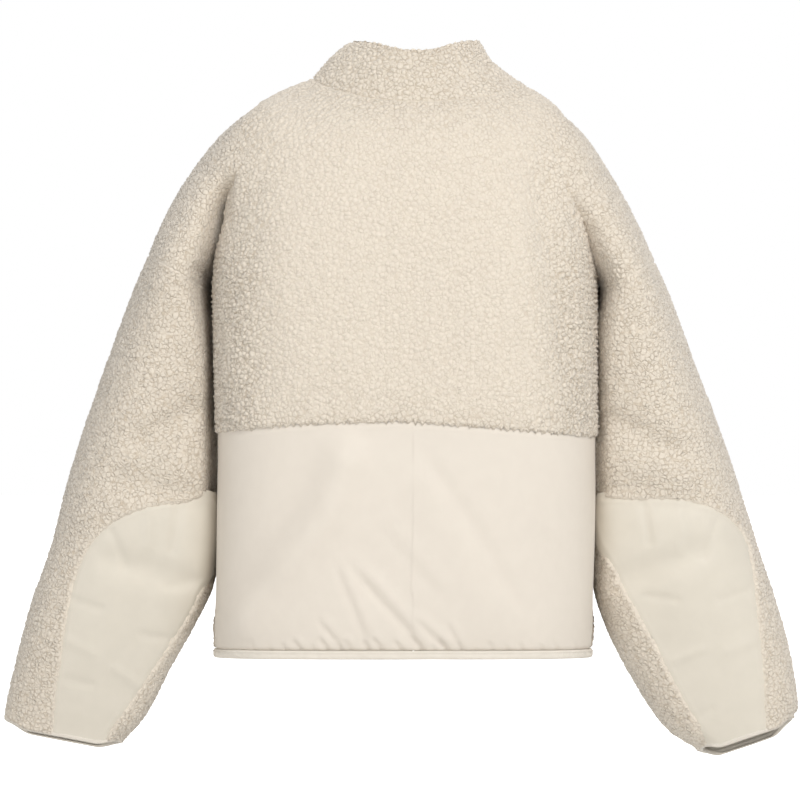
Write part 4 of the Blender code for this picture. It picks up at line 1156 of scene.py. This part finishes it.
def makeSleeveBacking(side):
    points, normals = sleeveGrid(side, backing["spacing"])
    points = tuckArm(points, depthInside(points, torsoTree), side)
    under = ease(-patchDistance(side, points) / backing["patchFade"])
    under = under * ease(distanceFrom(points, points[-1:]) / backing["cuffFade"])
    sunk = pileWall + backing["underPatch"] * under
    return backingMesh("sleeveBacking" + side.capitalize(), [clothGrid(points, normals, sunk, side)])


zipLook = {
    "tapeOuter": 13.5, "tapeInner": 2.6, "tapeDepth": 3.0, "tapeColumns": 14, "tapeSpacing": 1.6,
    "cord": 0.5, "cordAt": 3.6, "cordWidth": 0.7,  # woven edge beside the teeth
    "hemDrop": 8.6, "edgeSink": 0.6,
    "toothPitch": 2.5, "toothDepth": 1.6, "tooth": (3.6, 2.2, 1.5, 0.35), "toothFlare": 0.25, "toothAside": 1.35,
}


def zipPath(spacing):
    torso = bodyPoints(torsoRows, np.linspace(0, 10, 200), math.pi / 2)
    collar = bodyPoints(collarRows, np.linspace(0, 3, 60), math.pi / 2)[1:]
    points = np.concatenate((torso[:1] - (0, 0, zipLook["hemDrop"]), torso, collar)) * (0, 1, 1)
    run = runAlong(points)
    points = pathAt(points, run, np.linspace(0, run[-1], int(run[-1] / spacing) + 1))
    along = np.gradient(points, axis=0)
    along /= np.linalg.norm(along, axis=1, keepdims=True)
    return points, along, along[:, (0, 2, 1)] * (1, 1, -1)


def makeZipTape(side):
    points, _, outward = zipPath(zipLook["tapeSpacing"])
    across = np.linspace(zipLook["tapeInner"], zipLook["tapeOuter"], zipLook["tapeColumns"])
    cord = zipLook["cord"] * np.exp(-((across - zipLook["cordAt"]) / zipLook["cordWidth"]) ** 2)
    sunk = zipLook["tapeDepth"] - cord + zipLook["edgeSink"] * ease((across - 8) / 4)
    points = points[:, None] + across[None, :, None] * (direction[side], 0, 0)
    grid = clothGrid(points, np.broadcast_to(outward[:, None], points.shape), sunk, spacing=1.0, flip=side == "left")
    return gridMesh("zipTape" + side.capitalize(), [grid], materials["tape"])


def meshFromParts(name, parts, material):
    # many small copies of closed shapes in one mesh: (vertices, faces) in millimetres
    vertices, faces = [], []
    for points, quads in parts:
        base = len(vertices)
        vertices.extend((np.asarray(points) * mm).tolist())
        faces.extend([[base + corner for corner in face] for face in quads])
    mesh = bpy.data.meshes.new(name)
    mesh.from_pydata(vertices, [], faces)
    return meshPiece(name, mesh, {"weave": vertices}, material)


def roundedBlock(x, y, z, bevel):
    shape = bmesh.new()
    bmesh.ops.create_cube(shape, size=1)
    for vert in shape.verts:
        vert.co = (vert.co.x * x, vert.co.y * y, vert.co.z * z)
    bmesh.ops.bevel(shape, geom=shape.edges[:], offset=bevel, segments=1, profile=0.6, affect="EDGES")
    points = np.array([vert.co[:] for vert in shape.verts])
    faces = [[vert.index for vert in face.verts] for face in shape.faces]
    shape.free()
    return points, faces


def makeZipTeeth():
    points, along, outward = zipPath(zipLook["toothPitch"] / 2)
    head, faces = roundedBlock(*zipLook["tooth"])
    head[:, 2] *= 1 + zipLook["toothFlare"] * (head[:, 0] > 0)  # a tooth widens where it hooks the next
    parts = []
    for index in range(2, len(points) - 4):
        sign = 1 if index % 2 else -1
        local = head * (-sign, 1, 1) + (sign * zipLook["toothAside"], 0, 0)
        parts.append((points[index] + local[:, :1] * (1, 0, 0) + local[:, 1:2] * outward[index]
                      + local[:, 2:] * along[index] - outward[index] * zipLook["toothDepth"], faces))
    return meshFromParts("zipTeeth", parts, materials["teeth"])


# places are measured from the edge in millimetres: in from the outside, and down
stitchLook = {"pitch": 3.2, "length": 2.3, "thickness": 0.42, "taper": 0.35, "arch": 0.30, "sunk": 0.12, "corners": 5,
              "hemIn": 0.35, "hemDown": 2.2, "cuffIn": 6.2, "cuffDown": 0.6, "tapeAside": 6.4, "tapeOut": 0.1}


def stitchRow(name, path, outward):
    # short thread stitches laid along a path of points
    run = runAlong(path)
    corners, thickness = stitchLook["corners"], stitchLook["thickness"]
    turns = wholeTurn(corners)
    shares = np.array((0, 0.5, 1))
    faces = [[low + c, low + (c + 1) % corners, low + corners + (c + 1) % corners, low + corners + c]
             for low in (0, corners) for c in range(corners)]
    faces += [list(range(corners - 1, -1, -1)), list(range(2 * corners, 3 * corners))]
    parts = []
    for start in np.arange(1.0, run[-1] - stitchLook["length"], stitchLook["pitch"]):
        places, outs = (pathAt(line, run, start + shares * stitchLook["length"]) for line in (path, outward))
        along = places[-1] - places[0]
        along /= np.linalg.norm(along)
        points = []
        for place, out, share in zip(places, outs, shares):
            out = out / np.linalg.norm(out)
            radius = thickness / 2 * (1 if share == 0.5 else stitchLook["taper"])
            lift = stitchLook["arch"] * math.sin(share * math.pi) - stitchLook["sunk"]
            points += [place + out * (lift + radius * math.sin(turn)) + np.cross(along, out) * radius * math.cos(turn)
                       for turn in turns]
        parts.append((points, faces))
    return meshFromParts(name, parts, materials["thread"])


def makeStitches():
    # the rows of stitches by the piece that they are sewn on
    path, outward, down = edges["hem"]
    path = path - outward * stitchLook["hemIn"] + down * stitchLook["hemDown"]
    sewn = {"hemBinding": stitchRow("hemStitches", path, outward)}
    for side, sign in direction.items():
        name = side.capitalize()
        path, outward, down = (np.concatenate((line, line[:1])) for line in edges[side])
        path = path - outward * stitchLook["cuffIn"] + down * stitchLook["cuffDown"]
        sewn["cuffBinding" + name] = stitchRow("cuffStitches" + name, path, -outward)
        points, _, out = zipPath(1.5)
        tape = points + (sign * stitchLook["tapeAside"], 0, 0) - out * (zipLook["tapeDepth"] - stitchLook["tapeOut"])
        sewn["zipTape" + name] = stitchRow("tapeStitches" + name, tape, out)
    return sewn


pieces = {"backYoke": makeYoke()}
for side in armRows:
    name = side.capitalize()
    pieces["front" + name] = makeFront(side)
    pieces["sleeve" + name] = makeSleeve(side)
    pieces["elbowPatch" + name] = makePatch(side)
    pieces["cuffBinding" + name] = makeCuffBinding(side)
pieces.update(backLowerPanel=makeLowerPanel(), hemBinding=makeHemBinding(), standCollar=makeCollar(),
              zipTapeLeft=makeZipTape("left"), zipTapeRight=makeZipTape("right"), zipTeeth=makeZipTeeth())
print("cloth and zip ready")

backings = {
    "backYoke": makeBacking("yokeBacking", spans["back"], -1, ("left", "right"), yokeFoot),
    "backLowerPanel": makePanelBacking(),
    "frontLeft": makeBacking("frontBackingLeft", spans["left"], 1, ("left",)),
    "frontRight": makeBacking("frontBackingRight", spans["right"], 1, ("right",)),
    "sleeveLeft": makeSleeveBacking("left"), "sleeveRight": makeSleeveBacking("right"),
}
stitches = makeStitches()
print("backing and stitches ready")

# CAD node, slot, width and length of the cut in metres, its area, how it is held, and what it hangs from
cloths = {
    "backYoke": ("back_yoke", "sherpa_pile", (0.66, 0.43), 0.213, "hung", ["standCollar"]),
    "frontLeft": ("front_left", "sherpa_pile", (0.30, 0.66), 0.152, "hung", ["backYoke"]),
    "frontRight": ("front_right", "sherpa_pile", (0.29, 0.66), 0.141, "hung", ["backYoke"]),
    "backLowerPanel": ("back_lower_panel", "nylon", (0.57, 0.245), 0.131, "hung", ["backYoke"]),
    "standCollar": ("collar", "sherpa_pile", (0.58, 0.15), 0.072, "folded", ["backYoke", "frontLeft", "frontRight"]),
    "hemBinding": ("hem_binding", "binding", (0.023, 1.06), None, "folded",
                   ["backLowerPanel", "frontLeft", "frontRight"]),
    "sleeveLeft": ("sleeve_left", "sherpa_pile", (0.54, 0.56), 0.198, "hung", ["backYoke", "frontLeft"]),
    "sleeveRight": ("sleeve_right", "sherpa_pile", (0.54, 0.56), 0.197, "hung", ["backYoke", "frontRight"]),
    "elbowPatchLeft": ("elbow_patch_left", "nylon", (0.17, 0.29), 0.0315, "hung", ["sleeveLeft"]),
    "elbowPatchRight": ("elbow_patch_right", "nylon", (0.17, 0.29), 0.0320, "hung", ["sleeveRight"]),
    "cuffBindingLeft": ("cuff_binding_left", "binding", (0.0165, 0.28), None, "folded", ["sleeveLeft"]),
    "cuffBindingRight": ("cuff_binding_right", "binding", (0.0165, 0.30), None, "folded", ["sleeveRight"]),
    "zipTapeLeft": ("zip_tape_left", "zip_tape", (0.011, 0.61), None, "hung", ["frontLeft"]),
    "zipTapeRight": ("zip_tape_right", "zip_tape", (0.011, 0.61), None, "hung", ["frontRight"]),
}
for name, (node, slot, flat, area, held, restsOn) in cloths.items():
    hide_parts(node)
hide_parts("zip_chain")

for name in ("zip_slider", "zip_pull"):
    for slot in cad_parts[name].material_slots:
        slot.material = materials["metal"]
